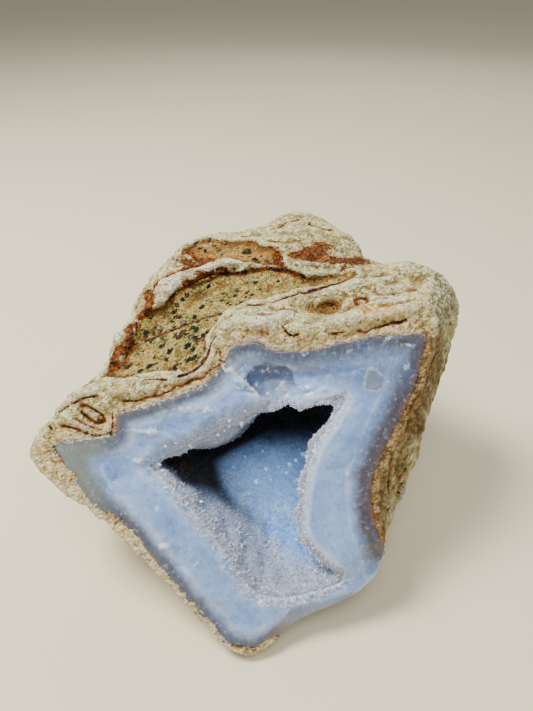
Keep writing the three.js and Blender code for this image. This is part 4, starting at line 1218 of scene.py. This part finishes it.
class CHALCEDONY_OT_crust(bpy.types.Operator):
    """Makes the crust of small quartz crystals that lines the hollow"""

    bl_idname = "chalcedony.crust"
    bl_label = "Crystal crust"

    def execute(self, context):
        look = context.scene.crust_look
        made = merged_copy("druse", "quartz_druse")
        remesh(made, look.voxel, rounds=12)
        wall = tree_of(frame["nodes"]["chalcedony"])
        points, normals = points_of(made), normals_of(made)
        on_break = to_break(points)
        x, y, deep = on_break.T
        to_wall = gap_to(wall, points)
        open_side = smooth(to_wall, 0.7, 1.0)
        back = mound(x, y, 6.5, -1.0, 11, 11) * smooth(deep, 12, 20)
        points = points + normals * (0.25 * (pebbles(points, 1.1) - 0.5) * open_side)[:, None]
        points = reach(points, wall, to_wall, 0.1)
        valley = falloff(to_line(seen(on_break), VALLEY), 3.6) * smooth(deep, 1, 5)
        points += (1.2 * valley * open_side)[:, None] * normals
        points -= (3.2 * back * open_side)[:, None] * INTO
        points += self.roof_lip(on_break, open_side)
        drop, _ = lip_roll(on_break[:, :2], 0.1 - 0.15 * to_wall)
        points += (drop * (1 - smooth(deep, 0, 9)))[:, None] * INTO
        move_to(made, points)
        thin_out(made, 1 - open_side, look.triangles)
        self.add_crystals(made, wall, look)
        self.add_shades(made)
        select_only(made)
        bpy.ops.object.shade_smooth_by_angle(angle=math.radians(25))
        settle(made, crystal_finish(look), "druse")
        return {"FINISHED"}

    def add_shades(self, made):
        """Stores how deep and how blue each place in the hollow is, where its back wall takes painted
        light, and where shade is painted in its corner, under its roof and along its crease.
        """
        on_break = to_break(points_of(made))
        x, y, deep = on_break.T
        view = seen(on_break)
        vx, vy = view.T
        corner = 1.5 * mound(vx, vy, -14.0, 2.9, 5.0, 3.2)
        under_roof = falloff(to_line(view, RECESS), 1.5) + smooth(vy, 5.5, 15.0) * smooth(vx, -6, 2)
        near_corner = 0.5 * mound(vx, vy, -11.5, -0.5, 5.5, 5.5)
        to_crease = to_line(view, CREASE)
        crease = falloff(to_crease, 1.7) * smooth(deep, 4, 9)
        fold = falloff(to_crease, 3.2) * smooth(deep, 4, 9) * smooth(vx, -3, 9)
        shade = corner + under_roof + near_corner + 0.15 * smooth(vy, -2, 10)
        shade += 0.55 * crease * smooth(-vx, -6, 6)
        shade = np.clip(shade, 0, 1) * smooth(deep, 3.0, 7.0)
        keep(
            made, depth=deep, fold=fold, shade=shade,
            slope=smooth(2.0 - 0.62 * (vx + 10.2) - vy, 0, 5),
            stain=mound(x, y, -18.0, 1.5, 4, 3) * smooth(deep, 2, 5),
            back=mound(vx, vy, 6.0, -3.0, 10, 10) * smooth(deep, 10, 18),
        )

    def roof_lip(self, on_break, open_side):
        """The moves that make the roof's lip hang into the hollow."""
        deep = on_break[:, 2]
        line, _, _ = LIPS[0]
        start, end = np.array(line[0]), np.array(line[-1])
        full = np.linalg.norm(end - start)
        run = (end - start) / full
        share = (on_break[:, :2] - start) @ run / full
        along = smooth(share, 0.05, 0.45) * (1 - 0.75 * smooth(share, 0.6, 1.0))
        behind = smooth(deep, 0.3, 4.0) * (1 - smooth(deep, 9, 16))
        near = falloff(to_line(on_break[:, :2], line), 5.0)
        hang = 5.4 * along * behind * near * open_side
        return hang[:, None] * (run[1] * RIGHT - run[0] * UP_BREAK)

    def add_crystals(self, made, wall, look):
        """Sets crystals all over the faces that look into the hollow, and on the mouth's lips."""
        draw = np.random.default_rng(7)
        inner = triangles_of(made)
        at_mouth = 1 - smooth(to_break(inner.middle)[:, 2], 0.5, 3.5)
        weight = inner.area * (gap_to(wall, inner.middle) > 0.3) * (1 + 2.5 * at_mouth)
        seats = [inner.scatter(draw, weight, look.crystals)]
        lips = triangles_of(bpy.data.objects["chalcedony_wall"], "roll")
        edge = triangles_of(bpy.data.objects["chalcedony_wall"], "to_hollow")
        weight = lips.area * smooth(lips.value, 0.2, 0.6) * (1 + 3 * (1 - smooth(edge.value, 0.5, 1.6)))
        seats.append(lips.scatter(draw, weight, look.lip_crystals))
        at = np.concatenate([seat[0] for seat in seats])
        facing = np.concatenate([seat[1] for seat in seats])
        count = len(at)
        shape, faces = crystal()
        width = look.width * draw.lognormal(-0.05, 0.38, count).clip(0.4, 2.1)
        tilt = draw.normal(0, 0.3, (count, 3))
        spin = draw.random(count) * math.pi
        stretch = draw.uniform(0.7, 1.5, count)
        bright = draw.random(count)
        width *= 1 + 0.5 * (bright > 0.94)
        verts, sides = [points_of(made)], [tuple(p.vertices) for p in made.data.polygons]
        base = len(verts[0])
        for i in range(count):
            out = Vector(facing[i] + tilt[i]).normalized()
            turn = np.array(out.to_track_quat("Z", "Y").to_matrix() @ Matrix.Rotation(spin[i], 3, "Z"))
            size = np.array([width[i], width[i], width[i] * stretch[i]])
            verts.append(at[i] + (shape * size) @ turn.T)
            sides += [tuple(base + k for k in face) for face in faces]
            base += len(shape)
        grown = bpy.data.meshes.new("quartz_druse")
        grown.from_pydata((np.concatenate(verts) * MM).tolist(), [], sides)
        made.data = grown
        on_crystal = np.repeat([0.0, 1.0], [len(verts[0]), count * len(shape)])
        brightness = np.append(np.zeros(len(verts[0])), np.repeat(bright, len(shape)))
        keep(made, bright=on_crystal * brightness, crystal=on_crystal)


class CHALCEDONY_OT_stage(bpy.types.Operator):
    """Makes the pale floor, the soft studio lights and the camera"""

    bl_idname = "chalcedony.stage"
    bl_label = "Stage"

    def execute(self, context):
        look = context.scene.stage_look
        bpy.ops.object.select_all(action="DESELECT")
        bpy.ops.mesh.primitive_plane_add(size=6, location=(0, 0, 0))
        floor = context.active_object
        floor.name = "floor"
        paper = Finish("pale floor", Roughness=0.9, Specular_IOR_Level=0.1)
        clouds = paper.noise(60, 3) * 0.25
        paper.feed("Base Color", paper.mix(clouds, tuple(look.floor), linear(224, 214, 188)))
        floor.data.materials.append(paper.material)

        self.light("key", look.key, 0.22, (-0.3, 0.04, 0.6), (1.0, 0.97, 0.91))
        self.light("front", look.fill, 0.4, (0.05, -0.3, 0.75), (0.97, 0.985, 1.0))
        self.light("back", look.fill * 0.35, 0.6, (0.2, 0.6, 0.5), (1.0, 0.99, 0.98))
        world = bpy.data.worlds.new("studio")
        world.use_nodes = True
        background = world.node_tree.nodes["Background"]
        background.inputs["Color"].default_value = (0.8, 0.83, 0.86, 1)
        background.inputs["Strength"].default_value = 0.36
        context.scene.world = world

        bpy.ops.object.camera_add()
        camera = context.active_object
        camera.name = "camera"
        camera.data.lens = look.lens
        camera.data.sensor_width = 36
        camera.data.clip_start = 0.005
        camera.location = Vector(EYE) * MM
        camera.rotation_euler = Vector(INTO).to_track_quat("-Z", "Y").to_euler()
        context.scene.camera = camera
        return {"FINISHED"}

    def light(self, name, watts, size, place, colour):
        bpy.ops.object.light_add(type="AREA", location=place)
        lamp = bpy.context.active_object
        lamp.name = name
        lamp.data.energy = watts
        lamp.data.size = size
        lamp.data.color = colour
        lamp.rotation_euler = (-Vector(place)).to_track_quat("-Z", "Y").to_euler()


class CHALCEDONY_PT_panel(bpy.types.Panel):
    """Lists the pieces of the stone and the stage"""

    bl_idname = "CHALCEDONY_PT_panel"
    bl_label = "Blue Chalcedony"
    bl_space_type = "VIEW_3D"
    bl_region_type = "UI"
    bl_category = "Chalcedony"

    def draw(self, context):
        for operator, group in PIECES:
            box = self.layout.box()
            box.operator(operator.bl_idname)
            settings = getattr(context.scene, group)
            for name in settings.__annotations__:
                box.prop(settings, name)


PIECES = [
    (CHALCEDONY_OT_matrix, "rock_look"),
    (CHALCEDONY_OT_wall, "wall_look"),
    (CHALCEDONY_OT_crust, "crust_look"),
    (CHALCEDONY_OT_stage, "stage_look"),
]
LOOKS = {"rock_look": RockLook, "wall_look": WallLook, "crust_look": CrustLook, "stage_look": StageLook}
CLASSES = [*LOOKS.values(), *(operator for operator, _ in PIECES), CHALCEDONY_PT_panel]


def register():
    for cls in CLASSES:
        bpy.utils.register_class(cls)
    for name, look in LOOKS.items():
        setattr(bpy.types.Scene, name, PointerProperty(type=look))


def unregister():
    for name in LOOKS:
        delattr(bpy.types.Scene, name)
    for cls in reversed(CLASSES):
        bpy.utils.unregister_class(cls)


def main():
    register()
    bpy.ops.chalcedony.matrix()
    bpy.ops.chalcedony.wall()
    bpy.ops.chalcedony.crust()
    bpy.ops.chalcedony.stage()


if __name__ == "__main__":
    main()
